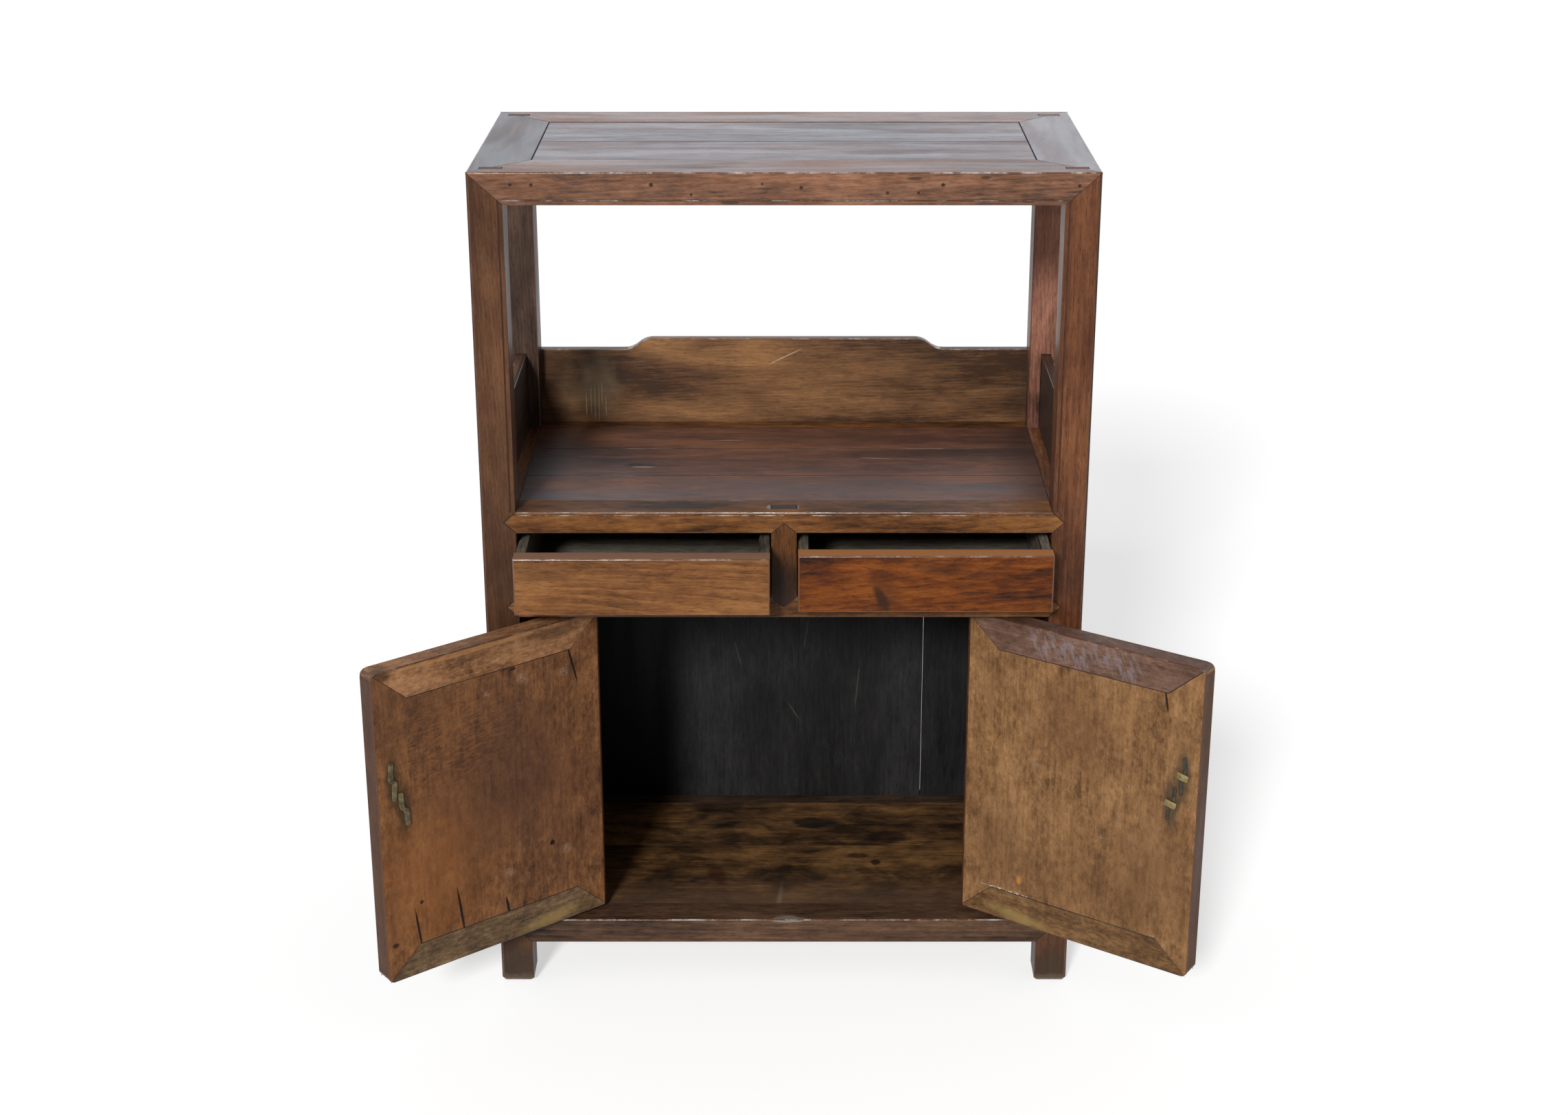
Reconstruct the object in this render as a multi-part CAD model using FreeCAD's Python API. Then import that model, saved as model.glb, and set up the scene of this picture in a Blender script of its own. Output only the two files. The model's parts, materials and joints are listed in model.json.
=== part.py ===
import FreeCAD, Part
import os

# A small Chinese display cabinet in old hardwood. Four square posts carry a mitred top frame.
# An open bay with a low gallery stands over two drawers and a cupboard with two pivot doors.
# Millimetres: X runs to the right, Y to the back, Z up. The origin is on the floor, under the middle.

Vec = FreeCAD.Vector

# Overall sizes
width = 700.0
depth = 350.0
height = 1020.0

# Upper faces of the shelf, the drawer rail and the cupboard floor
shelf_level = 622.0
drawer_level = 516.5
floor_level = 87.5

# Posts
post_side = 40.0
post_round = 4.0
foot_chamfer = 2.0

# Rails: heights of their faces, and how far the top frame reaches in
top_rail_width = 66.0
top_rail_height = 37.0
shelf_rail_height = 25.5
drawer_rail_height = 25.5
bottom_rail_height = 31.5
drawer_rail_depth = 34.0
rear_drawer_rail_depth = 22.0
top_edge_round = 2.0

# Joints between rails and posts: the fit round each tenon, and how far cuts and roots run past a face
fit = 0.1
run_past = 1.0
tenon_height = 9.0
tenon_thick = 11.0
tenon_long = 22.0
tenon_inset = 18.0
tenon_shoulder = 3.0
drawer_tenon_height = 15.0
rear_tenon_inset = 21.0
rear_tenon_thick = 10.0
point_long = 14.0
point_deep = 12.0

# Joints in the corners of the top frame
post_tenon_side = 13.0
post_tenon_front = 18.0
post_tenon_wide = 25.0
post_tenon_thick = 10.0
frame_tenon_side = 44.0
frame_tenon_wide = 14.0
frame_tenon_front = 26.0
frame_tenon_low = 5.0
frame_tenon_thick = 11.0

# Bead line that follows the opening of the display bay
bead_width = 5.5
shelf_bead_width = 3.5
quirk_half = 0.8
quirk_deep = 0.9

# Boards, their tongues and the dovetailed battens below them
board_thick = 14.0
tongue_thick = 6.0
tongue_long = 7.0
groove_deep = 8.0
top_board_drop = 0.5
seam = 0.2
top_seam_from_front = 170.0
shelf_seams_from_front = (128.0, 227.0)
floor_seam_from_front = 190.0
batten_wide = 30.0
batten_flare = 2.0
batten_key = 4.0
batten_deep = 9.0
batten_tenon = 10.0

# Gallery
gallery_height = 97.5
gallery_thick = 12.0
gallery_rise = 14.0
gallery_from_side = 13.0
gallery_from_back = 5.0
gallery_tongue = 6.0
back_rise_half = 167.0
scroll_run = 35.0
side_rise_from_front = 160.0

# Cupboard walls
side_panel_thick = 10.0
side_panel_from_side = 15.0
back_board_thick = 10.0
back_board_from_back = 7.0
back_seams = (-155.0, 20.0)
back_gap_at = 185.0
back_gap = 1.5

# Divider between the drawers
divider_wide = 30.0
divider_tenon_front = 13.0
divider_tenon_thick = 12.0
divider_foot = 15.0

# Drawer runners and guides
runner_thick = 16.0
runner_under = 24.0
guide_height = 20.0
guide_end_gap = 1.0
guide_proud = 0.5
runner_tenon_thick = 8.0
runner_tenon_low = 3.0
runner_tenon_long = 8.0
runner_tenon_wide = 14.0

# Drawers
drawer_gap_side = 1.0
drawer_lift = 0.4
drawer_set_back = 1.0
drawer_back_gap = 1.5
drawer_front_height = 69.5
drawer_front_thick = 22.0
drawer_front_round = 2.0
drawer_side_thick = 13.0
drawer_side_drop = 3.0
drawer_back_thick = 12.0
drawer_back_inset = 8.0
drawer_dado = 5.0
drawer_bottom_thick = 8.0
drawer_bottom_lift = 6.0
drawer_bottom_tongue = 5.0
tail_long = 15.0
tail_root = 13.0
tail_flare = 3.0
tail_levels = (19.0, 48.0)
left_drawer_out = 58.0
right_drawer_out = 48.0

# Doors
door_thick = 25.0
door_set_back = 1.5
door_hinge_gap = 1.5
door_meeting_gap = 2.5
door_top_gap = 4.0
door_bottom_gap = 4.0
door_stile = 44.0
door_rail = 40.0
door_hinge_round = 6.0
door_free_round = 1.5
door_foot_round = 9.0
door_head_round = 4.0
door_tenon_thick = 8.0
door_tenon_wide = 16.0
door_tenon_edge = 12.0
door_tenon_long = 32.0
door_panel_outer_step = 7.0
door_tongue_thick = 7.0
door_tongue_step = 3.0
left_door_open = 142.0
right_door_open = 146.0

# Wooden pivots of the doors
pivot_round = 6.0
pivot_inset = 46.0
pivot_play = 0.05
pivot_in_door = 30.0
pivot_in_drawer_rail = 12.0
pivot_in_bottom_rail = 9.0
pivot_end_gap = 0.3

# Wire eyes and drop pulls
wire_round = 1.5
eye_round = 6.0
eye_seat = 0.3
eye_bore_play = 0.1
leg_long = 21.0
leg_wide = 6.0
leg_thick = 1.6
leg_offset = 2.0
lock_eye_from_edge = 20.0
lock_eye_level = 350.0
pull_eye_from_edge = 33.0
pull_eye_level = 312.0
pull_thick = 2.0
pull_hole_round = 2.4
pull_hang = 0.3
pull_ring_round = 5.0
pull_neck_half = 2.0
pull_neck_long = 10.0
pull_leaf_half = 8.0
pull_leaf_long = 44.0

# Places that follow from the sizes
half_width = width / 2
half_depth = depth / 2
post_inner_x = half_width - post_side
top_underside = height - top_rail_height
shelf_underside = shelf_level - shelf_rail_height
drawer_underside = drawer_level - drawer_rail_height
bottom_underside = floor_level - bottom_rail_height
corners = {"front_left": (-1, -1), "front_right": (1, -1), "rear_left": (-1, 1), "rear_right": (1, 1)}
sides = {"left": -1, "right": 1}


def block(x0, x1, y0, y1, z0, z1, grow=0.0):
    size = Vec(x1 - x0 + 2 * grow, y1 - y0 + 2 * grow, z1 - z0 + 2 * grow)
    return Part.makeBox(size.x, size.y, size.z, Vec(x0 - grow, y0 - grow, z0 - grow))


def prism(points, run):
    outline = Part.makePolygon(points + points[:1])
    return Part.Face(outline).extrude(run)


# A corner is named by its signs. Its distance a runs in from the side, b in from the front or back.
def at_corner(sx, sy, a, b, z):
    return Vec(sx * (half_width - a), sy * (half_depth - b), z)


def corner_block(sx, sy, a0, a1, b0, b1, z0, z1, grow=0.0):
    p = at_corner(sx, sy, a0, b0, z0)
    q = at_corner(sx, sy, a1, b1, z1)
    return block(min(p.x, q.x), max(p.x, q.x), min(p.y, q.y), max(p.y, q.y), z0, z1, grow)


def corner_prism(sx, sy, points, da, db, dz):
    return prism([at_corner(sx, sy, *p) for p in points], Vec(-sx * da, -sy * db, dz))


def soften(shape, radius, chosen):
    edges = [e for e in shape.Edges if chosen(e.CenterOfMass, e.BoundBox)]
    return shape.makeFillet(radius, edges)


def near(a, b):
    return abs(a - b) < 1e-4


# Tenons are made once and cut again, grown by the fit, where they go in
def front_tenon(sx, sy, low, grow=0.0):
    return corner_block(sx, sy, post_side - tenon_long, post_side + run_past, tenon_inset,
                        tenon_inset + tenon_thick, low, low + tenon_height, grow)


def side_tenon(sx, sy, low, grow=0.0):
    return corner_block(sx, sy, tenon_inset, tenon_inset + tenon_thick, post_side - tenon_long,
                        post_side + run_past, low, low + tenon_height, grow)


def drawer_tenon(sx, grow=0.0):
    low = drawer_underside + (drawer_rail_height - drawer_tenon_height) / 2
    return corner_block(sx, -1, post_side - tenon_long, post_side + run_past, tenon_inset,
                        tenon_inset + tenon_thick, low, low + drawer_tenon_height, grow)


def rear_drawer_tenon(sx, grow=0.0):
    low = drawer_underside + (drawer_rail_height - drawer_tenon_height) / 2
    return corner_block(sx, 1, post_side - tenon_long, post_side + run_past, rear_tenon_inset,
                        rear_tenon_inset + rear_tenon_thick, low, low + drawer_tenon_height, grow)


def low_tenon(underside):
    return underside + tenon_shoulder


def high_tenon(upper):
    return upper - tenon_shoulder - tenon_height


# Pointed shoulders that let a rail into the face of a post
def front_point(sx, sy, z0, z1):
    middle = (z0 + z1) / 2
    shape = [(post_side + run_past, 0, z0), (post_side, 0, z0), (post_side - point_long, 0, middle),
             (post_side, 0, z1), (post_side + run_past, 0, z1)]
    return corner_prism(sx, sy, shape, 0, point_deep, 0)


def side_point(sx, sy, z0, z1):
    middle = (z0 + z1) / 2
    shape = [(0, post_side + run_past, z0), (0, post_side, z0), (0, post_side - point_long, middle),
             (0, post_side, z1), (0, post_side + run_past, z1)]
    return corner_prism(sx, sy, shape, point_deep, 0, 0)


def post_tenon(sx, sy, grow=0.0):
    return corner_block(sx, sy, post_tenon_side, post_tenon_side + post_tenon_wide, post_tenon_front,
                        post_tenon_front + post_tenon_thick, top_underside - tenon_long, height, grow)


def frame_tenon(sx, sy, grow=0.0):
    low = top_underside + frame_tenon_low
    return corner_block(sx, sy, frame_tenon_side, frame_tenon_side + frame_tenon_wide, frame_tenon_front,
                        top_rail_width, low, low + frame_tenon_thick, grow)


# The rounding of the outer corner runs up the post and over the tips of the top rails
def corner_waste(sx, sy):
    square = corner_block(sx, sy, 0, post_round, 0, post_round, 0, height)
    round_post = Part.makeCylinder(post_round, height, at_corner(sx, sy, post_round, post_round, 0))
    return square.cut(round_post)


# Three-way mitre: each member keeps what lies nearest to its own run
def over_front_mitre(sx, sy):
    slope = [(0, 0, height), (post_side, 0, top_underside), (post_side, 0, height)]
    return corner_prism(sx, sy, slope, 0, post_side, 0)


def over_side_mitre(sx, sy):
    slope = [(0, 0, height), (0, post_side, top_underside), (0, post_side, height)]
    return corner_prism(sx, sy, slope, post_side, 0, 0)


def under_front_mitre(sx, sy):
    slope = [(0, 0, height), (post_side, 0, top_underside), (0, 0, top_underside)]
    return corner_prism(sx, sy, slope, 0, top_rail_width, 0)


def under_side_mitre(sx, sy):
    slope = [(0, 0, height), (0, post_side, top_underside), (0, 0, top_underside)]
    return corner_prism(sx, sy, slope, top_rail_width, 0, 0)


def plan_mitre(sx, sy, keep_front):
    w = top_rail_width
    shape = [(0, 0), (0, w), (w, w)] if keep_front else [(0, 0), (w, 0), (w, w)]
    return corner_prism(sx, sy, [(a, b, top_underside) for a, b in shape], 0, 0, top_rail_height)


# Fine groove that sets the bead off, as a small three-sided cut
def post_quirk(sx):
    a = post_side - bead_width
    shape = [(a - quirk_half, 0, shelf_level), (a + quirk_half, 0, shelf_level), (a, quirk_deep, shelf_level)]
    return corner_prism(sx, -1, shape, 0, 0, height - shelf_level)


def rail_quirk(level):
    y = -half_depth
    shape = [Vec(-half_width, y, level - quirk_half), Vec(-half_width, y, level + quirk_half),
             Vec(-half_width, y + quirk_deep, level)]
    return prism(shape, Vec(width, 0, 0))


# Boards with a tongue along every edge, and the groove that takes the tongue
def tongued(x0, x1, y0, y1, z0, z1, grow=0.0, reach=tongue_long):
    core = block(x0, x1, y0, y1, z0, z1)
    low = z0 - grow
    high = z0 + tongue_thick + grow
    along = block(x0 - reach, x1 + reach, y0, y1, low, high)
    across = block(x0, x1, y0 - reach, y1 + reach, low, high)
    return core.fuse([along, across])


def bay_x(inset):
    return half_width - inset


def bay_y(inset):
    return half_depth - inset


def flat_board(inset, top, grow=0.0, reach=tongue_long):
    x = bay_x(inset)
    y = bay_y(inset)
    return tongued(-x, x, -y, y, top - board_thick, top, grow, reach)


def seam_cut(from_front, top):
    y = -half_depth + from_front
    return block(-half_width, half_width, y - seam / 2, y + seam / 2,
                 top - board_thick - run_past, top + run_past)


# Batten across the underside of the boards, dovetailed into them and tenoned into the rails
def batten(inset, top, grow=0.0):
    underside = top - board_thick
    y = bay_y(inset)
    half = batten_wide / 2
    wide = half + batten_flare
    key = [Vec(-half - grow, -y, underside), Vec(-wide - grow, -y, underside + batten_key + grow),
           Vec(wide + grow, -y, underside + batten_key + grow), Vec(half + grow, -y, underside)]
    bar = block(-half, half, -y, y, underside - batten_deep, underside)
    return bar.fuse(prism(key, Vec(0, 2 * y, 0)))


def batten_ends(inset, top, grow=0.0):
    underside = top - board_thick
    y = bay_y(inset) + batten_tenon
    half = batten_wide / 2 - tenon_shoulder
    return block(-half, half, -y, y, underside - batten_deep, underside - tenon_shoulder, grow)


# Gallery outlines: a scroll of two arcs steps from the low edge to the high one
def scroll(start, end):
    middle = (start + end) * 0.5
    run = end - start
    flat = Vec(run.x, run.y, 0)
    bow = flat.Length * 0.25
    lean = run.z * 0.125
    first = start + flat * (bow / flat.Length) + Vec(0, 0, lean)
    second = end - flat * (bow / flat.Length) - Vec(0, 0, lean)
    return [Part.Arc(start, first, middle).toShape(), Part.Arc(middle, second, end).toShape()]


def line(p, q):
    return Part.LineSegment(p, q).toShape()


gallery_low = shelf_level + gallery_height
gallery_high = gallery_low + gallery_rise
gallery_back_y = half_depth - gallery_from_back - gallery_thick


def gallery_back():
    y = gallery_back_y
    x = post_inner_x
    outer = back_rise_half + scroll_run
    a = Vec(-x, y, shelf_level)
    b = Vec(x, y, shelf_level)
    c = Vec(x, y, gallery_low)
    d = Vec(outer, y, gallery_low)
    e = Vec(back_rise_half, y, gallery_high)
    f = Vec(-back_rise_half, y, gallery_high)
    g = Vec(-outer, y, gallery_low)
    h = Vec(-x, y, gallery_low)
    edges = [line(a, b), line(b, c), line(c, d), *scroll(d, e), line(e, f), *scroll(f, g),
             line(g, h), line(h, a)]
    board = Part.Face(Part.Wire(edges)).extrude(Vec(0, gallery_thick, 0))
    return board.fuse([gallery_back_end(-1), gallery_back_end(1)]).removeSplitter()


def gallery_back_end(sx, grow=0.0):
    return corner_block(sx, 1, post_side - gallery_tongue, post_side + run_past, gallery_from_back,
                        gallery_from_back + gallery_thick, shelf_level, gallery_low, grow)


def gallery_side(sx):
    x = sx * (half_width - gallery_from_side)
    front = -half_depth + post_side
    rear = half_depth - post_side
    step = -half_depth + side_rise_from_front
    lower = gallery_low - gallery_rise
    a = Vec(x, front, shelf_level)
    b = Vec(x, rear, shelf_level)
    c = Vec(x, rear, gallery_low)
    d = Vec(x, step, gallery_low)
    e = Vec(x, step - scroll_run, lower)
    f = Vec(x, front, lower)
    edges = [line(a, b), line(b, c), line(c, d), *scroll(d, e), line(e, f), line(f, a)]
    board = Part.Face(Part.Wire(edges)).extrude(Vec(-sx * gallery_thick, 0, 0))
    return board.fuse([gallery_side_end(sx, -1), gallery_side_end(sx, 1)]).removeSplitter()


def gallery_side_end(sx, sy, grow=0.0):
    top = gallery_low if sy > 0 else gallery_low - gallery_rise
    return corner_block(sx, sy, gallery_from_side, gallery_from_side + gallery_thick,
                        post_side - gallery_tongue, post_side + run_past, shelf_level, top, grow)


# Cupboard walls let into grooves of posts and rails
def side_panel(sx, grow=0.0, reach=tongue_long):
    y = half_depth - post_side
    a0 = half_width - side_panel_from_side - side_panel_thick
    a1 = half_width - side_panel_from_side
    x0 = min(sx * a0, sx * a1) - grow
    x1 = max(sx * a0, sx * a1) + grow
    upright = block(x0, x1, -y, y, floor_level - reach, shelf_underside + reach)
    return upright.fuse(block(x0, x1, -y - reach, y + reach, floor_level, shelf_underside))


back_y1 = half_depth - back_board_from_back
back_y0 = back_y1 - back_board_thick


def back_wall(grow=0.0, reach=tongue_long):
    x = post_inner_x
    y0 = back_y0 - grow
    y1 = back_y1 + grow
    upright = block(-x, x, y0, y1, floor_level - reach, shelf_underside + reach)
    return upright.fuse(block(-x - reach, x + reach, y0, y1, floor_level, shelf_underside))


def back_cut(x, wide):
    return block(x - wide / 2, x + wide / 2, back_y0 - run_past, back_y1 + run_past, 0, shelf_level)


# Door pivots stand in the drawer rail above and in the bottom rail below
pivot_x = post_inner_x - door_hinge_gap - pivot_inset
pivot_y = -half_depth + door_set_back + door_thick / 2
door_low = floor_level + door_bottom_gap
door_high = drawer_underside - door_top_gap


def pivot_hole(sx, z0, z1):
    return Part.makeCylinder(pivot_round + pivot_play, z1 - z0, Vec(sx * pivot_x, pivot_y, z0))


def post(sx, sy):
    body = corner_block(sx, sy, 0, post_side, 0, post_side, 0, height)
    body = body.makeChamfer(foot_chamfer, [e for e in body.Edges if near(e.BoundBox.ZMax, 0)])
    body = body.cut([over_front_mitre(sx, sy), over_side_mitre(sx, sy), corner_waste(sx, sy)])
    body = body.fuse(post_tenon(sx, sy))
    cuts = [front_tenon(sx, sy, low_tenon(shelf_underside), fit),
            side_tenon(sx, sy, high_tenon(shelf_level), fit),
            front_tenon(sx, sy, high_tenon(floor_level), fit),
            side_tenon(sx, sy, low_tenon(bottom_underside), fit),
            side_point(sx, sy, shelf_underside, shelf_level),
            side_point(sx, sy, bottom_underside, floor_level),
            side_panel(sx, fit, groove_deep),
            gallery_side_end(sx, sy, fit)]
    if sy < 0:
        cuts += [front_point(sx, sy, shelf_underside, shelf_level),
                 front_point(sx, sy, drawer_underside, drawer_level),
                 front_point(sx, sy, bottom_underside, floor_level),
                 drawer_tenon(sx, fit),
                 post_quirk(sx)]
    else:
        cuts += [rear_drawer_tenon(sx, fit), gallery_back_end(sx, fit), back_wall(fit, groove_deep)]
    return body.cut(cuts)


# The groove in the inner edge of a frame, as the board with a deeper tongue
def top_groove():
    return flat_board(top_rail_width, height - top_board_drop, fit, groove_deep)


def shelf_groove():
    return flat_board(post_side, shelf_level, fit, groove_deep)


def floor_groove():
    return flat_board(post_side, floor_level, fit, groove_deep)


def top_rail_long(sy):
    outer = sy * half_depth
    inner = sy * (half_depth - top_rail_width)
    bar = block(-half_width, half_width, min(outer, inner), max(outer, inner), top_underside, height)
    bar = soften(bar, top_edge_round, lambda c, b: near(c.y, outer) and near(c.z, height))
    cuts = [top_groove(), batten_ends(top_rail_width, height - top_board_drop, fit)]
    for sx in sides.values():
        cuts += [plan_mitre(sx, sy, True), under_front_mitre(sx, sy), corner_waste(sx, sy)]
        cuts += [post_tenon(sx, sy, fit), frame_tenon(sx, sy, fit)]
    if sy < 0:
        cuts.append(rail_quirk(top_underside + bead_width))
    return bar.cut(cuts)


def top_rail_side(sx):
    outer = sx * half_width
    inner = sx * (half_width - top_rail_width)
    bar = block(min(outer, inner), max(outer, inner), -half_depth, half_depth, top_underside, height)
    bar = soften(bar, top_edge_round, lambda c, b: near(c.x, outer) and near(c.z, height))
    tenons = []
    cuts = [top_groove()]
    for sy in (-1, 1):
        cuts += [plan_mitre(sx, sy, False), under_side_mitre(sx, sy), corner_waste(sx, sy)]
        cuts.append(post_tenon(sx, sy, fit))
        tenons.append(frame_tenon(sx, sy))
    return bar.cut(cuts).fuse(tenons).removeSplitter()


# Front and rear rails run between the posts
def rail_long(sy, z0, z1, tenon_low, groove, pointed):
    outer = sy * half_depth
    inner = sy * (half_depth - post_side)
    bar = block(-post_inner_x, post_inner_x, min(outer, inner), max(outer, inner), z0, z1)
    ends = []
    for sx in sides.values():
        ends.append(front_tenon(sx, sy, tenon_low))
        if pointed:
            ends.append(front_point(sx, sy, z0, z1))
    return bar.fuse(ends).removeSplitter().cut(groove)


def rail_side(sx, z0, z1, tenon_low, groove):
    outer = sx * half_width
    inner = sx * (half_width - post_side)
    y = half_depth - post_side
    bar = block(min(outer, inner), max(outer, inner), -y, y, z0, z1)
    ends = []
    for sy in (-1, 1):
        ends += [side_tenon(sx, sy, tenon_low), side_point(sx, sy, z0, z1)]
    return bar.fuse(ends).removeSplitter().cut([groove, side_panel(sx, fit, groove_deep)])


# Divider with a tenon right through the shelf rail and pointed shoulders on its face
def divider_tenon(grow=0.0):
    half = divider_wide / 2
    y = -half_depth + divider_tenon_front
    return block(-half, half, y, y + divider_tenon_thick, drawer_level - divider_foot, shelf_level, grow)


def divider_point(base, tip):
    half = divider_wide / 2
    inside = base - run_past if tip > base else base + run_past
    y = -half_depth
    shape = [Vec(-half, y, inside), Vec(-half, y, base), Vec(0, y, tip), Vec(half, y, base),
             Vec(half, y, inside)]
    return prism(shape, Vec(0, point_deep, 0))


def divider_points():
    up = divider_point(shelf_underside, shelf_underside + point_deep)
    down = divider_point(drawer_level, drawer_level - point_deep)
    return [up, down]


def drawer_divider():
    half = divider_wide / 2
    bar = block(-half, half, -half_depth, -half_depth + drawer_rail_depth, drawer_level, shelf_underside)
    return bar.fuse([divider_tenon()] + divider_points()).removeSplitter()


# Runners lie level with the drawer rail and keep a guide beside each drawer
runner_y0 = -half_depth + drawer_rail_depth
runner_y1 = half_depth - back_board_from_back - back_board_thick - rear_drawer_rail_depth
guide_y0 = -half_depth + post_side + guide_end_gap
guide_y1 = half_depth - post_side - guide_end_gap
runner_low = drawer_level - runner_thick


def runner_tenons(middle, grow=0.0):
    half = runner_tenon_wide / 2
    low = runner_low + runner_tenon_low
    return block(middle - half, middle + half, runner_y0 - runner_tenon_long, runner_y1 + runner_tenon_long,
                 low, low + runner_tenon_thick, grow)


def runner_middle(sx):
    return sx * (post_inner_x - drawer_gap_side - runner_under / 2)


def runner_side(sx):
    inner = post_inner_x - drawer_gap_side - runner_under
    outer = post_inner_x - drawer_gap_side + guide_proud
    wall = half_width - side_panel_from_side - side_panel_thick
    base = block(min(sx * inner, sx * outer), max(sx * inner, sx * outer), runner_y0, runner_y1,
                 runner_low, drawer_level)
    base = base.fuse(runner_tenons(runner_middle(sx))).removeSplitter()
    guide = block(min(sx * outer, sx * wall), max(sx * outer, sx * wall), guide_y0, guide_y1,
                  runner_low, drawer_level + guide_height)
    return Part.makeCompound([base, guide])


def runner_centre():
    half = divider_wide / 2 + drawer_gap_side
    under = half + runner_under / 2
    base = block(-under, under, runner_y0, runner_y1, runner_low, drawer_level)
    base = base.fuse(runner_tenons(0)).removeSplitter()
    thin = half - guide_proud
    guide = block(-thin, thin, guide_y0, guide_y1, drawer_level, drawer_level + guide_height)
    return Part.makeCompound([base, guide])


def runner_mortises():
    return [runner_tenons(m, fit) for m in (runner_middle(-1), 0.0, runner_middle(1))]


def drawer_rail():
    y = -half_depth
    bar = block(-post_inner_x, post_inner_x, y, y + drawer_rail_depth, drawer_underside, drawer_level)
    ends = []
    for sx in sides.values():
        ends += [drawer_tenon(sx), front_point(sx, -1, drawer_underside, drawer_level)]
    holes = [pivot_hole(sx, drawer_underside, drawer_underside + pivot_in_drawer_rail + pivot_end_gap)
             for sx in sides.values()]
    cuts = [divider_tenon(fit)] + divider_points() + runner_mortises() + holes
    return bar.fuse(ends).removeSplitter().cut(cuts)


def rear_drawer_rail():
    bar = block(-post_inner_x, post_inner_x, runner_y1, runner_y1 + rear_drawer_rail_depth,
                drawer_underside, drawer_level)
    ends = [rear_drawer_tenon(sx) for sx in sides.values()]
    return bar.fuse(ends).removeSplitter().cut(runner_mortises())


# One drawer, built for the right-hand bay and shut
drawer_x0 = divider_wide / 2 + drawer_gap_side
drawer_x1 = post_inner_x - drawer_gap_side
drawer_y0 = -half_depth + drawer_set_back
drawer_y1 = back_y0 - drawer_back_gap
drawer_z0 = drawer_level + drawer_lift
drawer_z1 = drawer_z0 + drawer_front_height
drawer_side_y0 = drawer_y0 + drawer_front_thick
drawer_side_z1 = drawer_z1 - drawer_side_drop
drawer_floor = drawer_z0 + drawer_bottom_lift


def tails(x0, x1, grow=0.0):
    made = []
    for level in tail_levels:
        root = tail_root / 2 + grow
        end = root + tail_flare
        z = drawer_z0 + level
        y = drawer_side_y0 - tail_long - grow
        inside = drawer_side_y0 + run_past
        shape = [Vec(x0, inside, z - root), Vec(x0, drawer_side_y0, z - root), Vec(x0, y, z - end),
                 Vec(x0, y, z + end), Vec(x0, drawer_side_y0, z + root), Vec(x0, inside, z + root)]
        made.append(prism(shape, Vec(x1 - x0, 0, 0)))
    return made


def drawer_bottom(grow=0.0, reach=drawer_bottom_tongue):
    inset = drawer_side_thick - reach
    return block(drawer_x0 + inset, drawer_x1 - inset, drawer_side_y0 - reach, drawer_y1,
                 drawer_floor - grow, drawer_floor + drawer_bottom_thick + grow)


def drawer_back(grow=0.0):
    y1 = drawer_y1 - drawer_back_inset
    inset = drawer_side_thick - drawer_dado - grow
    return block(drawer_x0 + inset, drawer_x1 - inset, y1 - drawer_back_thick - grow, y1 + grow,
                 drawer_floor + drawer_bottom_thick, drawer_side_z1)


def drawer_pieces():
    groove = drawer_bottom(fit, drawer_bottom_tongue + fit)
    left_x = (drawer_x0, drawer_x0 + drawer_side_thick)
    right_x = (drawer_x1 - drawer_side_thick, drawer_x1)
    front = block(drawer_x0, drawer_x1, drawer_y0, drawer_side_y0, drawer_z0, drawer_z1)
    front = soften(front, drawer_front_round, lambda c, b: near(c.y, drawer_y0))
    front = front.cut(tails(*left_x, fit) + tails(*right_x, fit) + [groove])
    made = {"front": front, "back": drawer_back(), "bottom": drawer_bottom()}
    for name, (x0, x1) in (("side_inner", left_x), ("side_outer", right_x)):
        side = block(x0, x1, drawer_side_y0, drawer_y1, drawer_z0, drawer_side_z1)
        side = side.fuse(tails(x0, x1)).removeSplitter()
        made[name] = side.cut([groove, drawer_back(fit)])
    return made


# One door, built for the right-hand side and shut
door_x0 = door_meeting_gap / 2
door_x1 = post_inner_x - door_hinge_gap
door_y0 = -half_depth + door_set_back
door_y1 = door_y0 + door_thick


def door_blank():
    whole = block(door_x0, door_x1, door_y0, door_y1, door_low, door_high)
    whole = soften(whole, door_foot_round, lambda c, b: near(c.x, door_x0) and near(c.z, door_low))
    whole = soften(whole, door_head_round, lambda c, b: near(c.x, door_x0) and near(c.z, door_high))
    whole = soften(whole, door_hinge_round, lambda c, b: near(c.x, door_x1) and b.ZLength > door_rail)
    return soften(whole, door_free_round, lambda c, b: near(c.x, door_x0) and b.ZLength > door_rail)


def door_member(points):
    return prism([Vec(x, door_y0, z) for x, z in points], Vec(0, door_thick, 0))


def door_tenon(upper, hinge_end, grow=0.0):
    y = (door_y0 + door_y1) / 2
    half = door_tenon_thick / 2
    z = door_high - door_tenon_edge - door_tenon_wide if upper else door_low + door_tenon_edge
    if hinge_end:
        x0, x1 = door_x1 - door_stile - tenon_shoulder, door_x1 - door_stile + door_tenon_long
    else:
        x0, x1 = door_x0 + door_stile - door_tenon_long, door_x0 + door_stile + tenon_shoulder
    return block(x0, x1, y - half, y + half, z, z + door_tenon_wide, grow)


def door_panel(grow=0.0, reach=tongue_long):
    x0 = door_x0 + door_stile
    x1 = door_x1 - door_stile
    z0 = door_low + door_rail
    z1 = door_high - door_rail
    y = door_y0 + door_panel_outer_step
    core = block(x0, x1, y, door_y1, z0, z1)
    t0 = y + door_tongue_step - grow
    t1 = y + door_tongue_step + door_tongue_thick + grow
    wide = block(x0 - reach, x1 + reach, t0, t1, z0, z1)
    tall = block(x0, x1, t0, t1, z0 - reach, z1 + reach)
    return core.fuse([wide, tall]).removeSplitter()


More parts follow.
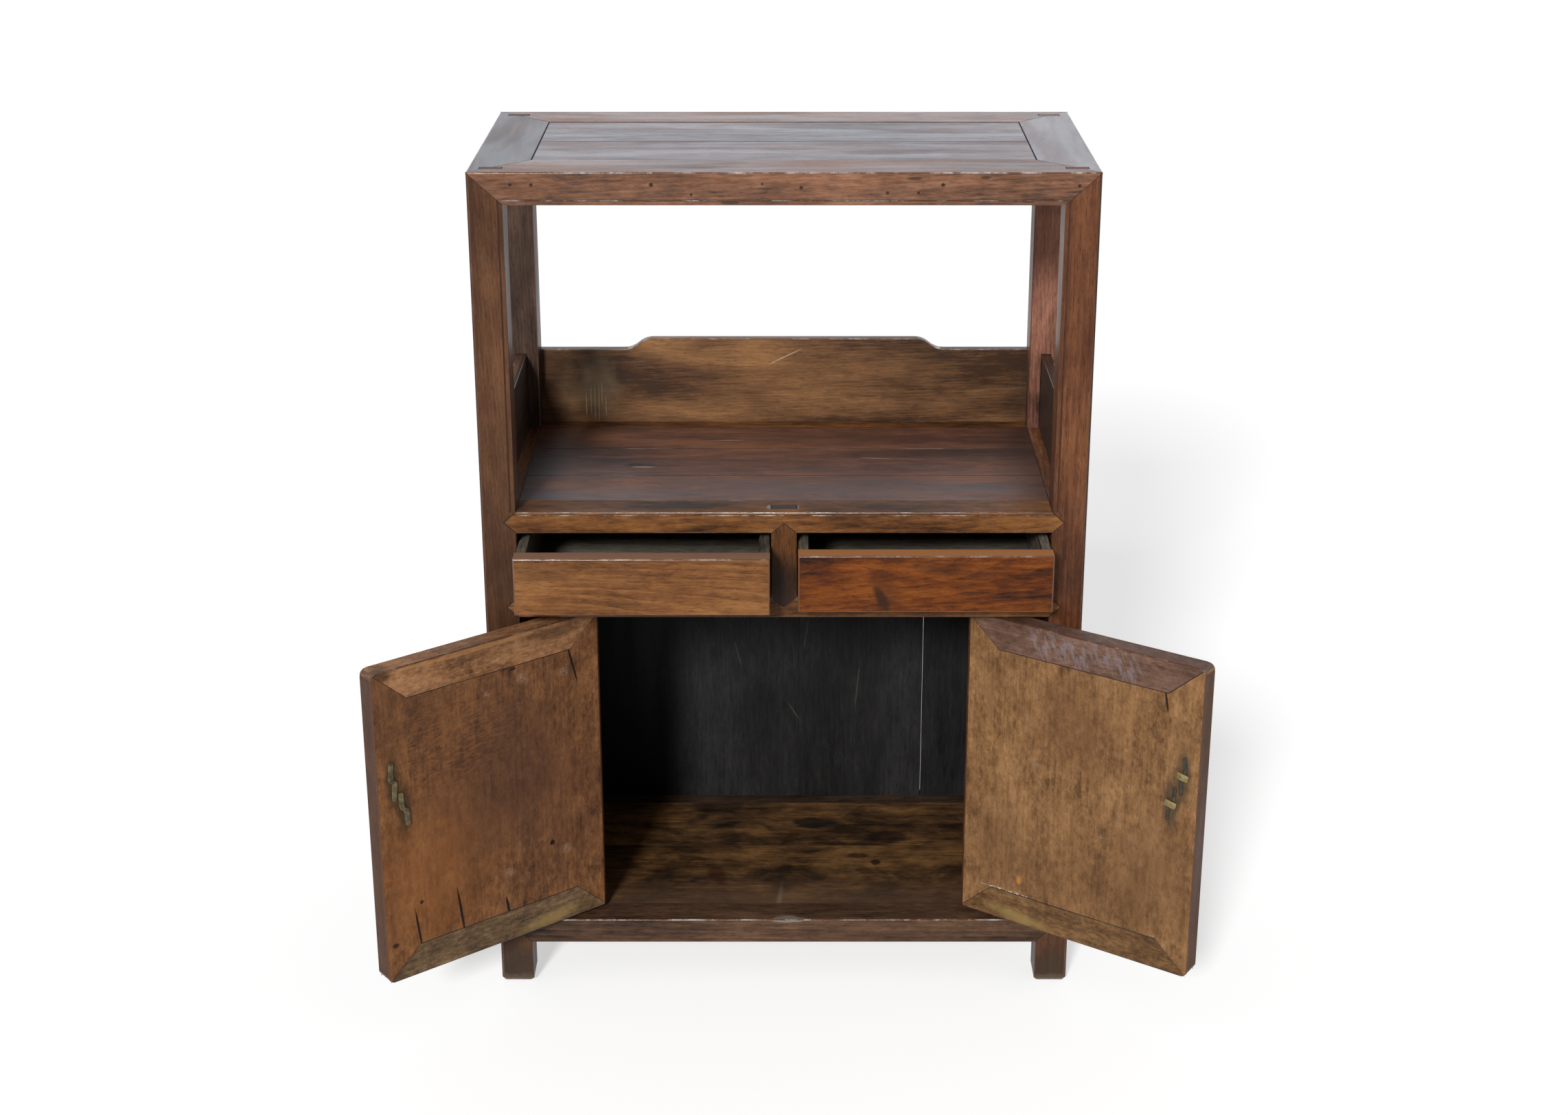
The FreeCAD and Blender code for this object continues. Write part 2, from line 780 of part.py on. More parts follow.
def pivot_pin(upper, grow=0.0):
    if upper:
        z0 = door_high - pivot_in_door
        z1 = drawer_underside + pivot_in_drawer_rail
    else:
        z0 = floor_level - pivot_in_bottom_rail
        z1 = door_low + pivot_in_door
    return Part.makeCylinder(pivot_round + grow, z1 - z0, Vec(pivot_x, pivot_y, z0))


# A wire eye: a ring outside, a shank through the stile, two flat legs bent up and down along the inside
eye_y = door_y0 - eye_seat - eye_round - wire_round


def eye_bore(x, z):
    start = Vec(x, door_y0 - run_past, z)
    return Part.makeCylinder(wire_round + eye_bore_play, door_thick + 2 * run_past, start, Vec(0, 1, 0))


def wire_eye(x, z):
    ring = Part.makeTorus(eye_round, wire_round, Vec(x, eye_y, z), Vec(1, 0, 0))
    shank_start = eye_y + eye_round
    shank = Part.makeCylinder(wire_round, door_y1 - shank_start, Vec(x, shank_start, z), Vec(0, 1, 0))
    half = leg_wide / 2
    upper = block(x - leg_offset - half, x - leg_offset + half, door_y1, door_y1 + leg_thick, z, z + leg_long)
    lower = block(x + leg_offset - half, x + leg_offset + half, door_y1, door_y1 + leg_thick, z - leg_long, z)
    return ring.fuse([shank, upper, lower]).removeSplitter()


def drop_pull(x, z):
    top = z - eye_round - (pull_hole_round - wire_round - pull_hang)
    y = eye_y - pull_thick / 2
    neck = top - pull_ring_round - pull_neck_long
    tip = neck - pull_leaf_long
    belly = neck - pull_leaf_long * 0.6
    ring = Part.makeCylinder(pull_ring_round, pull_thick, Vec(x, y, top), Vec(0, 1, 0))
    stem = block(x - pull_neck_half, x + pull_neck_half, y, y + pull_thick, neck, top)
    head = Vec(x, y, neck + pull_neck_half)
    right = Part.Arc(head, Vec(x + pull_leaf_half, y, belly), Vec(x, y, tip)).toShape()
    left = Part.Arc(Vec(x, y, tip), Vec(x - pull_leaf_half, y, belly), head).toShape()
    leaf = Part.Face(Part.Wire([right, left])).extrude(Vec(0, pull_thick, 0))
    start = Vec(x, y - run_past, top)
    hole = Part.makeCylinder(pull_hole_round, pull_thick + 2 * run_past, start, Vec(0, 1, 0))
    return ring.fuse([stem, leaf]).removeSplitter().cut(hole)


def door_pieces():
    s, r = door_stile, door_rail
    x0, x1, z0, z1 = door_x0, door_x1, door_low, door_high
    blank = door_blank()
    groove = door_panel(fit, groove_deep)
    outlines = {"hinge_stile": [(x1, z0), (x1, z1), (x1 - s, z1 - r), (x1 - s, z0 + r)],
                "free_stile": [(x0, z0), (x0, z1), (x0 + s, z1 - r), (x0 + s, z0 + r)],
                "top_rail": [(x0, z1), (x1, z1), (x1 - s, z1 - r), (x0 + s, z1 - r)],
                "bottom_rail": [(x0, z0), (x1, z0), (x1 - s, z0 + r), (x0 + s, z0 + r)]}
    made = {name: door_member(points).common(blank) for name, points in outlines.items()}
    lock_at = (x0 + lock_eye_from_edge, lock_eye_level)
    pull_at = (x0 + pull_eye_from_edge, pull_eye_level)
    for name, upper in (("top_rail", True), ("bottom_rail", False)):
        rail = made[name].fuse([door_tenon(upper, True), door_tenon(upper, False)]).removeSplitter()
        made[name] = rail.cut([groove, pivot_pin(upper, pivot_play)])
    for name, hinge_end in (("hinge_stile", True), ("free_stile", False)):
        cuts = [groove, door_tenon(True, hinge_end, fit), door_tenon(False, hinge_end, fit)]
        if not hinge_end:
            cuts += [eye_bore(*lock_at), eye_bore(*pull_at)]
        made[name] = made[name].cut(cuts)
    made["panel"] = door_panel()
    made["pivots"] = Part.makeCompound([pivot_pin(True), pivot_pin(False)])
    made["eyes"] = Part.makeCompound([wire_eye(*lock_at), wire_eye(*pull_at)])
    made["pull"] = drop_pull(*pull_at)
    return made


def mirrored(shape, sx):
    return shape if sx > 0 else shape.mirror(Vec(0, 0, 0), Vec(1, 0, 0))


# The carcass
pieces = {}
for name, (sx, sy) in corners.items():
    pieces["post_" + name] = post(sx, sy)
pieces["top_rail_front"] = top_rail_long(-1)
pieces["top_rail_rear"] = top_rail_long(1)
top_boards_level = height - top_board_drop
top_batten = batten(top_rail_width, top_boards_level).fuse(batten_ends(top_rail_width, top_boards_level))
pieces["top_boards"] = flat_board(top_rail_width, top_boards_level).removeSplitter().cut(
    [batten(top_rail_width, top_boards_level, fit), seam_cut(top_seam_from_front, top_boards_level)])
pieces["top_batten"] = top_batten.removeSplitter()

shelf_cuts = [shelf_groove(), batten_ends(post_side, shelf_level, fit)]
shelf_front = rail_long(-1, shelf_underside, shelf_level, low_tenon(shelf_underside), shelf_cuts, True)
pieces["shelf_rail_front"] = shelf_front.cut(
    [divider_tenon(fit)] + divider_points() + [rail_quirk(shelf_level - shelf_bead_width)])
shelf_rear = rail_long(1, shelf_underside, shelf_level, low_tenon(shelf_underside), shelf_cuts, False)
pieces["shelf_rail_rear"] = shelf_rear.cut(back_wall(fit, groove_deep))
pieces["shelf_boards"] = flat_board(post_side, shelf_level).removeSplitter().cut(
    [batten(post_side, shelf_level, fit)] + [seam_cut(s, shelf_level) for s in shelf_seams_from_front])
shelf_batten = batten(post_side, shelf_level).fuse(batten_ends(post_side, shelf_level))
pieces["shelf_batten"] = shelf_batten.removeSplitter()
pieces["gallery_back"] = gallery_back()

pieces["drawer_rail"] = drawer_rail()
pieces["drawer_rear_rail"] = rear_drawer_rail()
pieces["drawer_divider"] = drawer_divider()
pieces["drawer_runner_centre"] = runner_centre()

floor_cuts = [floor_groove(), batten_ends(post_side, floor_level, fit)]
bottom_front = rail_long(-1, bottom_underside, floor_level, high_tenon(floor_level), floor_cuts, True)
lower_socket = floor_level - pivot_in_bottom_rail - pivot_end_gap
pieces["bottom_rail_front"] = bottom_front.cut(
    [pivot_hole(sx, lower_socket, floor_level) for sx in sides.values()])
bottom_rear = rail_long(1, bottom_underside, floor_level, high_tenon(floor_level), floor_cuts, False)
pieces["bottom_rail_rear"] = bottom_rear.cut(back_wall(fit, groove_deep))
pieces["floor_boards"] = flat_board(post_side, floor_level).removeSplitter().cut(
    [batten(post_side, floor_level, fit), seam_cut(floor_seam_from_front, floor_level)])
floor_batten = batten(post_side, floor_level).fuse(batten_ends(post_side, floor_level))
pieces["floor_batten"] = floor_batten.removeSplitter()

for name, sx in sides.items():
    pieces["top_rail_" + name] = top_rail_side(sx)
    pieces["shelf_rail_" + name] = rail_side(sx, shelf_underside, shelf_level, high_tenon(shelf_level),
                                             shelf_groove())
    pieces["bottom_rail_" + name] = rail_side(sx, bottom_underside, floor_level, low_tenon(bottom_underside),
                                              floor_groove())
    pieces["gallery_" + name] = gallery_side(sx)
    pieces["drawer_runner_" + name] = runner_side(sx)
    pieces["side_panel_" + name] = side_panel(sx).removeSplitter()

back_slits = [back_cut(x, seam) for x in back_seams] + [back_cut(back_gap_at, back_gap)]
pieces["back_boards"] = back_wall().removeSplitter().cut(back_slits)

# Doors and drawers, each set as far open as it stands
for name, sx in sides.items():
    opened = right_door_open if sx > 0 else -left_door_open
    for piece, shape in door_pieces().items():
        moved = mirrored(shape, sx)
        moved.rotate(Vec(sx * pivot_x, pivot_y, 0), Vec(0, 0, 1), opened)
        pieces["door_%s_%s" % (name, piece)] = moved
    pulled = right_drawer_out if sx > 0 else left_drawer_out
    for piece, shape in drawer_pieces().items():
        moved = mirrored(shape, sx)
        moved.translate(Vec(0, -pulled, 0))
        pieces["drawer_%s_%s" % (name, piece)] = moved

os.makedirs("parts", exist_ok=True)
for name, shape in pieces.items():
    shape.exportStep(os.path.join("parts", name + ".step"))
    print(name, len(shape.Solids), shape.isValid(), round(shape.Volume / 1000, 2))
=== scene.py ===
import json
import math

import bmesh
import bpy
import numpy as np
from mathutils import Matrix, Vector
from mathutils.bvhtree import BVHTree
from mathutils.geometry import delaunay_2d_cdt

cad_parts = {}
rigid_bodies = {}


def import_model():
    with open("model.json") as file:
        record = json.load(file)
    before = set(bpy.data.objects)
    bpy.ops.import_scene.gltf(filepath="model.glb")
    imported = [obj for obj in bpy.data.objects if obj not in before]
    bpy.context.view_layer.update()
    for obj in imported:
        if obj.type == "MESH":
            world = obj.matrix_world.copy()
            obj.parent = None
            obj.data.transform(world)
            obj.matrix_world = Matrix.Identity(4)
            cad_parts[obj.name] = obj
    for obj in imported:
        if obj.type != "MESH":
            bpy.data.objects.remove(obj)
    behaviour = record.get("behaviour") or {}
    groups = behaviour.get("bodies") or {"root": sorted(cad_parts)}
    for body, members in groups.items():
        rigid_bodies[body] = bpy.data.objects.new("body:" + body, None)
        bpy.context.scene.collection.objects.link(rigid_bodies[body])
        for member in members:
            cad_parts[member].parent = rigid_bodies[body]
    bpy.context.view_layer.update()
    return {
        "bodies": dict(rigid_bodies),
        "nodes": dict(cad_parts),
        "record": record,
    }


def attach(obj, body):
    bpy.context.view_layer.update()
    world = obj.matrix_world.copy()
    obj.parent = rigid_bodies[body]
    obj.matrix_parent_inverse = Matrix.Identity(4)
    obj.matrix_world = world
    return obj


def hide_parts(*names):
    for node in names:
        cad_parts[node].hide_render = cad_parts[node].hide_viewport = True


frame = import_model()
scene = bpy.context.scene
scene.view_settings.view_transform = "Standard"
bodyOf = {node: body for body, nodes in frame["record"]["behaviour"]["bodies"].items() for node in nodes}


def tint(red, green, blue):
    # screen values of 0-255 as the linear colour that a shader takes, by the sRGB curve
    screen = np.array([red, green, blue]) / 255
    linear = np.where(screen <= 0.04045, screen / 12.92, ((screen + 0.055) / 1.055) ** 2.4)
    return (*linear.tolist(), 1.0)


# Each door's own space: x from the free edge to the hinge, z up from its foot, y = 0 on the inner face
doorPlace = {
    "left": {"flip": 180.0, "origin": (-0.00125, -0.1485, -0.0915)},
    "right": {"flip": 0.0, "origin": (-0.00125, 0.1485, -0.0915)},
}
for joint in frame["record"]["behaviour"]["joints"]:
    if joint["child"].startswith("door_"):
        place = doorPlace[joint["child"].split("_")[1]]
        place["pivot"] = Vector(joint["pos_m"])
        place["turn"] = -joint["axis"][2] * joint["range_deg"][1]  # from shut to the opened rest


def doorSpace(side):
    # turns the open door shut about its pivot, then moves its free corner to the origin
    row = doorPlace[side]
    shut = (Matrix.Translation(row["pivot"]) @ Matrix.Rotation(math.radians(-row["turn"]), 4, "Z")
            @ Matrix.Translation(-row["pivot"]))
    return (Matrix.Translation(Vector(row["origin"]))
            @ Matrix.Rotation(math.radians(row["flip"]), 4, "Z") @ shut)


class NodeTree:
    # short ways to make and join nodes
    def __init__(self, tree):
        self.tree = tree

    def feed(self, socket, value):
        if isinstance(value, bpy.types.NodeSocket):
            self.tree.links.new(value, socket)
        else:
            socket.default_value = value

    def node(self, kind, sockets, out=0, **settings):
        # a new node's output, with its sockets filled
        made = self.tree.nodes.new("ShaderNode" + kind)
        for key, value in settings.items():
            setattr(made, key, value)
        for key, value in sockets.items():
            self.feed(made.inputs[key], value)
        return made.outputs[out]

    def place(self, vector, location=(0, 0, 0), rotation=(0, 0, 0), scale=(1, 1, 1), kind="POINT"):
        return self.node("Mapping", {0: vector, 1: location, 2: rotation, 3: scale}, vector_type=kind)

    def shift(self, share, step, vector):
        return self.node("VectorMath", {0: share, 1: step, 2: vector}, operation="MULTIPLY_ADD")

    def noise(self, vector, detail=2.0, roughness=0.5, distortion=0.0):
        return self.node("TexNoise", {"Vector": vector, "Scale": 1.0, "Detail": detail,
                                      "Roughness": roughness, "Distortion": distortion}, "Fac")

    def cloud(self, vector, scale, detail=2.0, roughness=0.5, distortion=0.0, start=(0, 0, 0)):
        # noise at a scale for each axis, or at one for all
        scale = scale if isinstance(scale, tuple) else (scale,) * 3
        return self.noise(self.place(vector, start, scale=scale), detail, roughness, distortion)

    def math(self, operation, first, second=0.0, third=0.0):
        return self.node("Math", {0: first, 1: second, 2: third}, operation=operation)

    def span(self, value, low, high, toLow=0.0, toHigh=1.0):
        return self.node("MapRange", {0: value, 1: low, 2: high, 3: toLow, 4: toHigh},
                         interpolation_type="SMOOTHSTEP")

    def ramp(self, value, stops):
        made = self.node("ValToRGB", {0: value})
        elements = made.node.color_ramp.elements
        while len(elements) < len(stops):
            elements.new(0.5)
        for element, (position, colour) in zip(elements, stops):
            element.position = position
            element.color = colour
        return made

    def blend(self, share, first, second):
        return self.node("Mix", {0: share, 6: first, 7: second}, 2, data_type="RGBA")


class Finish(NodeTree):
    # a node material
    def __init__(self, name):
        self.material = bpy.data.materials.new(name)
        self.material.use_nodes = True
        super().__init__(self.material.node_tree)
        self.shader = self.tree.nodes["Principled BSDF"]

    def spot(self):
        return self.node("TexCoord", {}, "Object")

    def bump(self, height, strength, distance):
        return self.node("Bump", {"Strength": strength, "Distance": distance, "Height": height})

    def set(self, **sockets):
        for key, value in sockets.items():
            self.feed(self.shader.inputs[key.replace("_", " ")], value)
        return self.material


# A mark is an ellipsoid of another tone; what it is unless its row says otherwise
markBase = {
    "turn": (0, 0, 0), "soft": 0.3, "ragged": 0.5, "fray": 90,  # degrees, its edge, the scale of the fraying
    "broken": None, "depth": 0,  # size of the scraps it is broken into, how deep it lies
}
scrapEdge = (0.49, 0.58)  # where a broken mark's noise leaves a scrap


def mark(at, size, tone, share=1, **more):
    # place, half sizes and scraps in mm; the share is how strongly the tone covers
    row = dict(markBase, at=at, size=size, tone=tone, share=share, **more)
    for key in ("at", "size", "broken"):
        row[key] = row[key] and [c / 1000 for c in row[key]]
    return row


def onFront(y, deep=10):
    # marks on an upright face: x, z, half width, half height
    def make(x, z, wide, high, tone, share=1, lean=0, deep=deep, **more):
        return mark((x, y, z), (wide, deep, high), tone, share, turn=(0, lean, 0), **more)
    return make


def onTop(z, deep=10):
    # marks on a level face: x, y, half width, half length
    def make(x, y, wide, long, tone, share=1, lean=0, deep=deep, **more):
        return mark((x, y, z), (wide, long, deep), tone, share, turn=(0, 0, lean), **more)
    return make


def band(z, half, tone, share, **more):
    # all round a piece at one height
    return mark((0, 0, z), (1000, 1000, half), tone, share, **more)


def innerFace(x, z, tone, share):
    # all that lies within x of the middle
    return mark((0, 0, z), (x, 5000, 5000), tone, share, soft=0.002, ragged=0)


def markMask(fin, spot, row):
    # 1 inside the ellipsoid, 0 outside, its edge made ragged by a small noise
    turn = [math.radians(a) for a in row["turn"]]
    local = fin.place(spot, row["at"], turn, row["size"], "TEXTURE")
    reach = fin.node("VectorMath", {0: local}, "Value", operation="LENGTH")
    if row["ragged"]:
        fray = fin.cloud(spot, row["fray"], 3, 0.6)
        reach = fin.math("ADD", reach, fin.math("MULTIPLY_ADD", fray, 2 * row["ragged"], -row["ragged"]))
    mask = fin.span(reach, 1 + row["soft"], 1 - row["soft"], 0, row["share"])
    if row["broken"]:
        scraps = fin.noise(fin.place(spot, row["at"], turn, row["broken"], "TEXTURE"), 3, 0.6, 0.3)
        mask = fin.math("MULTIPLY", mask, fin.span(scraps, *scrapEdge))
    return mask


# Turns that lay the wood's length along x
grainTurn = {
    "x": Matrix.Identity(3).to_euler(),
    "y": Matrix.Rotation(-math.pi / 2, 3, "Z").to_euler(),
    "z": Matrix.Rotation(math.pi / 2, 3, "Y").to_euler(),
}
# What all the woods share
woodGrain = {
    "noise": {  # detail, roughness, distortion and start of each noise
        "figure": (3, 0.55, 0.7), "fibre": (3, 0.65), "grit": (4, 0.72, 0.2), "mottle": (5, 0.68, 0.25),
        "blotch": (3, 0.55, 0.3), "stain": (4, 0.62, 0.4, (3, 1, 2)), "fleck": (4, 0.7, 0.3, (7, 4, 1)),
        "pore": (2,), "wave": (1, 0.4),
    },
    "boardStep": (5.1, 3.7, 2.3), "pithStep": (0.9, 0.11, 0.07),  # shifts from board to board
    "ringStretch": (0.12, 1, 1), "waveRate": 20,  # the Wave node counts its rings at this rate
    "ringDetail": {"Detail": 3, "Detail Scale": 0.22, "Detail Roughness": 0.6},
    "stops": (0.12, 0.5, 0.88), "sparse": (0.56, 0.70),  # dark, middle and light tone; flecks and pores
    "fibreRise": 0.06, "poreRise": -0.10, "relief": 0.0008,
    "roughFrom": (0.55, 0.95), "stainRough": 0.5,
    "polished": 0.2, "rubFigure": 0.6, "rubGrit": 0.4, "rubFrom": (0.38, 0.62),
    "rubMore": 0.3, "rubLess": 0.5,
}


def woodFinish(name, look, axis, door, marks):
    # tone = figure + rings + fibres + blotches + mottle + grit + a step for each board;
    # then stains, flecks, pores and single marks are laid over it
    fin = Finish(name)
    spot = fin.spot()
    if door:
        move, turn, _ = doorSpace(door).decompose()
        spot = fin.place(spot, move, turn.to_euler())
    board = fin.node("Attribute", {}, "Fac", attribute_name="board")
    grain = fin.place(spot, rotation=grainTurn[axis])
    apart = [look["apart"] * step for step in woodGrain["boardStep"]]
    own = fin.shift(board, apart, grain)

    def layer(kind):
        return fin.cloud(own, look[kind + "Scale"], *woodGrain["noise"][kind])

    layers = {kind: layer(kind) for kind in ("figure", "fibre", "grit", "mottle", "blotch")}
    pith = fin.place(spot, [-c for c in look["pith"]])
    pith = fin.place(pith, rotation=grainTurn[axis])
    pith = fin.shift(board, woodGrain["pithStep"], pith)
    tilt = math.radians(look["tilt"])
    pith = fin.place(pith, rotation=(0, tilt, tilt))
    layers["rings"] = fin.node("TexWave", {
        "Vector": fin.place(pith, scale=woodGrain["ringStretch"]), "Distortion": look["ringDrift"],
        "Scale": 2 * math.pi / woodGrain["waveRate"] / look["ringGap"], **woodGrain["ringDetail"],
    }, "Fac", wave_type="RINGS", rings_direction="X", wave_profile="SAW")
    layers["board"] = board
    kinds = ("figure", "rings", "fibre", "blotch", "mottle", "grit", "board")
    tone = 0.5 - sum(look[kind] for kind in kinds) / 2
    for kind in kinds:
        tone = fin.math("MULTIPLY_ADD", layers[kind], look[kind], tone)
    tones = [tint(*c) for c in look["tones"]]
    colour = fin.ramp(tone, list(zip(woodGrain["stops"], tones)))
    stain = layer("stain")
    stained = fin.span(stain, *look["stainEdge"], 0, look["stainShare"])
    colour = fin.blend(stained, colour, tint(*look["stainTone"]))
    colour = fin.blend(fin.span(layer("fleck"), *woodGrain["sparse"], 0, look["flecks"]), colour, tones[0])
    pores = fin.span(layer("pore"), *woodGrain["sparse"])
    colour = fin.blend(fin.math("MULTIPLY", pores, look["pores"]), colour, tones[0])
    height = fin.math("MULTIPLY", layer("wave"), look["hand"])
    height = fin.math("MULTIPLY_ADD", layers["fibre"], woodGrain["fibreRise"], height)
    height = fin.math("MULTIPLY_ADD", pores, woodGrain["poreRise"], height)
    rough = fin.math("ADD", layers["figure"], fin.math("MULTIPLY", stain, woodGrain["stainRough"]))
    rough = fin.span(rough, *woodGrain["roughFrom"], *look["roughness"])
    for row in marks:
        mask = markMask(fin, spot, row)
        colour = fin.blend(mask, colour, tint(*row["tone"]))
        if row["depth"]:
            height = fin.math("MULTIPLY_ADD", mask, -row["depth"], height)
    bump = fin.bump(height, 1.0, woodGrain["relief"])
    polish = look["coat"]
    if polish > woodGrain["polished"]:  # rubbed thin along the figure
        worn = fin.math("MULTIPLY", layers["grit"], woodGrain["rubGrit"])
        worn = fin.math("MULTIPLY_ADD", layers["figure"], woodGrain["rubFigure"], worn)
        polish = fin.span(worn, *woodGrain["rubFrom"], (1 + woodGrain["rubMore"] * look["rub"]) * polish,
                          (1 - woodGrain["rubLess"] * look["rub"]) * polish)
    return fin.set(Base_Color=colour, Roughness=rough, Normal=bump, Specular_IOR_Level=look["specular"],
                   Coat_Weight=polish, Coat_Roughness=look["coatRoughness"])


arrisWearAndHighlight = {
    "paleScale": 30, "speckScale": 260, "speckEdge": (0.5, 0.70), "speckShare": 0.4, "speckTone": 0.45,
    "upward": (0.05, 0.6), "leastPale": 0.15,  # an arris that looks up is paler most: wear, and a painted highlight
    "relief": (0.5, 0.0005), "speckRough": 0.4, "specular": 0.3, "coat": 0.15, "coatRoughness": 0.18,
}


def edgeFinish(name, woodTone, paleTone, pale, gloss):
    # the wood's own tone, worn to a pale line in places, paler where it looks up as a painted highlight
    fin = Finish(name)
    spot = fin.spot()
    wearAndHighlight = fin.span(fin.cloud(spot, arrisWearAndHighlight["paleScale"], 5, 0.72, 0.5), *pale)
    upward = fin.node("SeparateXYZ", {0: fin.node("NewGeometry", {}, "True Normal")}, 2)
    # arrises that look up are made paler: a painted highlight on top of the wear
    wearAndHighlight = fin.math("MULTIPLY", wearAndHighlight, fin.span(upward, *arrisWearAndHighlight["upward"], arrisWearAndHighlight["leastPale"], 1))
    speck = fin.span(fin.cloud(spot, arrisWearAndHighlight["speckScale"], 3, 0.65), *arrisWearAndHighlight["speckEdge"],
                     0, arrisWearAndHighlight["speckShare"])
    colour = fin.blend(wearAndHighlight, tint(*woodTone), tint(*paleTone))
    colour = fin.blend(speck, colour, tint(*[arrisWearAndHighlight["speckTone"] * c for c in woodTone]))
    bump = fin.bump(speck, *arrisWearAndHighlight["relief"])
    rough = fin.math("MULTIPLY_ADD", speck, arrisWearAndHighlight["speckRough"], gloss)
    return fin.set(Base_Color=colour, Roughness=rough, Normal=bump, Specular_IOR_Level=arrisWearAndHighlight["specular"],
                   Coat_Weight=arrisWearAndHighlight["coat"], Coat_Roughness=arrisWearAndHighlight["coatRoughness"])


grime = {"dustScale": 14, "grainScale": 600, "relief": (0.4, 0.0004), "roughness": 0.75, "dustRough": 0.1}


def seamFinish(name, darkTone, dustTone, dust):
    # grime in a joint line, with dust lying in it in places
    fin = Finish(name)
    spot = fin.spot()
    lies = fin.span(fin.cloud(spot, grime["dustScale"], 4, 0.6, 0.4), *dust)
    colour = fin.blend(lies, tint(*darkTone), tint(*dustTone))
    bump = fin.bump(fin.cloud(spot, grime["grainScale"]), *grime["relief"])
    rough = fin.math("MULTIPLY_ADD", lies, grime["dustRough"], grime["roughness"])
    return fin.set(Base_Color=colour, Roughness=rough, Normal=bump)


# The hardwood of the frame, which every look starts from
frameLook = {
    "tones": ((44, 25, 15), (104, 66, 44), (146, 100, 66)),
    "figure": 0.8, "rings": 0.14, "fibre": 0.6, "blotch": 0.9, "mottle": 0.6, "grit": 0.7, "board": 0.16,
    "figureScale": (4, 30, 30), "fibreScale": (16, 330, 330), "blotchScale": (4, 9, 9),
    "mottleScale": (30, 75, 75), "gritScale": (50, 240, 240), "waveScale": (6, 20, 20),
    "flecks": 0.35, "fleckScale": (32, 150, 150), "pores": 0.5, "poreScale": (95, 900, 900),
    "pith": (0, 0.32, 0.4), "tilt": 2.5, "ringGap": 0.0042, "ringDrift": 7.0,
    "stainScale": (7, 16, 16), "stainEdge": (0.52, 0.72), "stainShare": 0.45, "stainTone": (40, 26, 19),
    "hand": 0.7, "roughness": (0.36, 0.52), "specular": 0.16, "coat": 0.03, "coatRoughness": 0.25,
    "apart": 1.0, "rub": 1.0,  # jump of the figure between boards, unevenness of the polish
}
seamDark = seamFinish("jointGrime", (24, 15, 11), (60, 46, 36), (0.60, 0.78))
seamBlack = seamFinish("jointShadow", (9, 8, 8), (20, 18, 17), (0.60, 0.78))
seamDusty = seamFinish("jointDust", (26, 18, 14), (140, 130, 118), (0.52, 0.68))
arrisFrame = edgeFinish("rubbedArrisAndHighlight", (88, 54, 36), (150, 120, 98), (0.48, 0.70), 0.30)
arrisPale = edgeFinish("whitenedArris", (104, 70, 50), (202, 192, 186), (0.44, 0.68), 0.26)
arrisDrawer = edgeFinish("drawerArris", (112, 72, 46), (186, 166, 150), (0.46, 0.72), 0.28)
arrisDark = edgeFinish("dullArris", (60, 42, 31), (110, 90, 72), (0.54, 0.74), 0.48)
finishOf = {}


def give(title, piece, axis, arris, *names, seam=seamDark, door=None):
    # makes a piece's wood; its solids take that, the rubbed and highlighted arris and the joint line
    wood = woodFinish(title, {**frameLook, **piece["look"]}, axis, door, piece.get("marks", []))
    finishOf.update({name: (wood, arris, seam) for name in names})


# The top frame, with nail holes (x, z, radius) and nicks on its front
lay = onFront(-175, 4)
topFrame = {
    "look": dict(tones=((57, 36, 25), (126, 85, 61), (162, 116, 88)), coat=0.35, coatRoughness=0.14,
                 roughness=(0.28, 0.44), figure=0.6, mottle=0.8),
    "marks": [lay(x, z, r, r, (24, 15, 11), 0.9, ragged=0.25, depth=1.2) for x, z, r in (
        (-301, 1006, 1.6), (-278, 1006, 1.8), (-146, 1006, 2.2), (-102, 995, 1.3), (19, 1003, 1.8),
        (114, 997, 1.6), (148, 997, 1.4), (175, 1006, 2.0), (325, 1005, 1.6), (-24, 1007, 1.1))]
    + [lay(*nick, (50, 30, 22), 0.8, ragged=0.8, depth=1.0) for nick in (
        (222, 1014, 7, 2.0), (144, 1013, 9, 1.6), (-60, 986, 12, 1.6), (270, 988, 9, 1.8))],
}
topSides = {
    "Left": dict(tones=((34, 22, 17), (82, 56, 44), (116, 82, 65)), coat=0.34, rub=0.3),
    "Right": dict(tones=((36, 24, 18), (88, 60, 47), (122, 87, 69)), coat=0.66, rub=0.3),
}
give("topRailWood", topFrame, "x", arrisPale, "top_rail_front", "top_rail_rear")
for side, look in topSides.items():
    rail = {"look": dict(topFrame["look"], **look)}
    give(f"top{side}Wood", rail, "y", arrisPale, "top_rail_" + side.lower())

# The top's boards, with a few splits and a stain
lay = onTop(1020)
topPanel = {
    "look": dict(tones=((38, 23, 19), (88, 54, 44), (124, 82, 64)), coat=0.5, coatRoughness=0.12,
                 roughness=(0.26, 0.42), hand=1.2, pith=(0, 0.05, 1.12), board=0.25),
    "marks": [
        lay(20, 103, 22, 1.6, (22, 15, 12), lean=12, depth=1.5),
        lay(-140, -28, 50, 1.0, (26, 17, 13), lean=9, depth=1.5),
        lay(140, -85, 25, 1.4, (26, 17, 13), lean=-4, depth=1.5),
        lay(160, -120, 14, 6, (34, 22, 17), 0.6, ragged=0.8),
    ],
}
give("topBoardWood", topPanel, "x", arrisFrame, "top_boards")
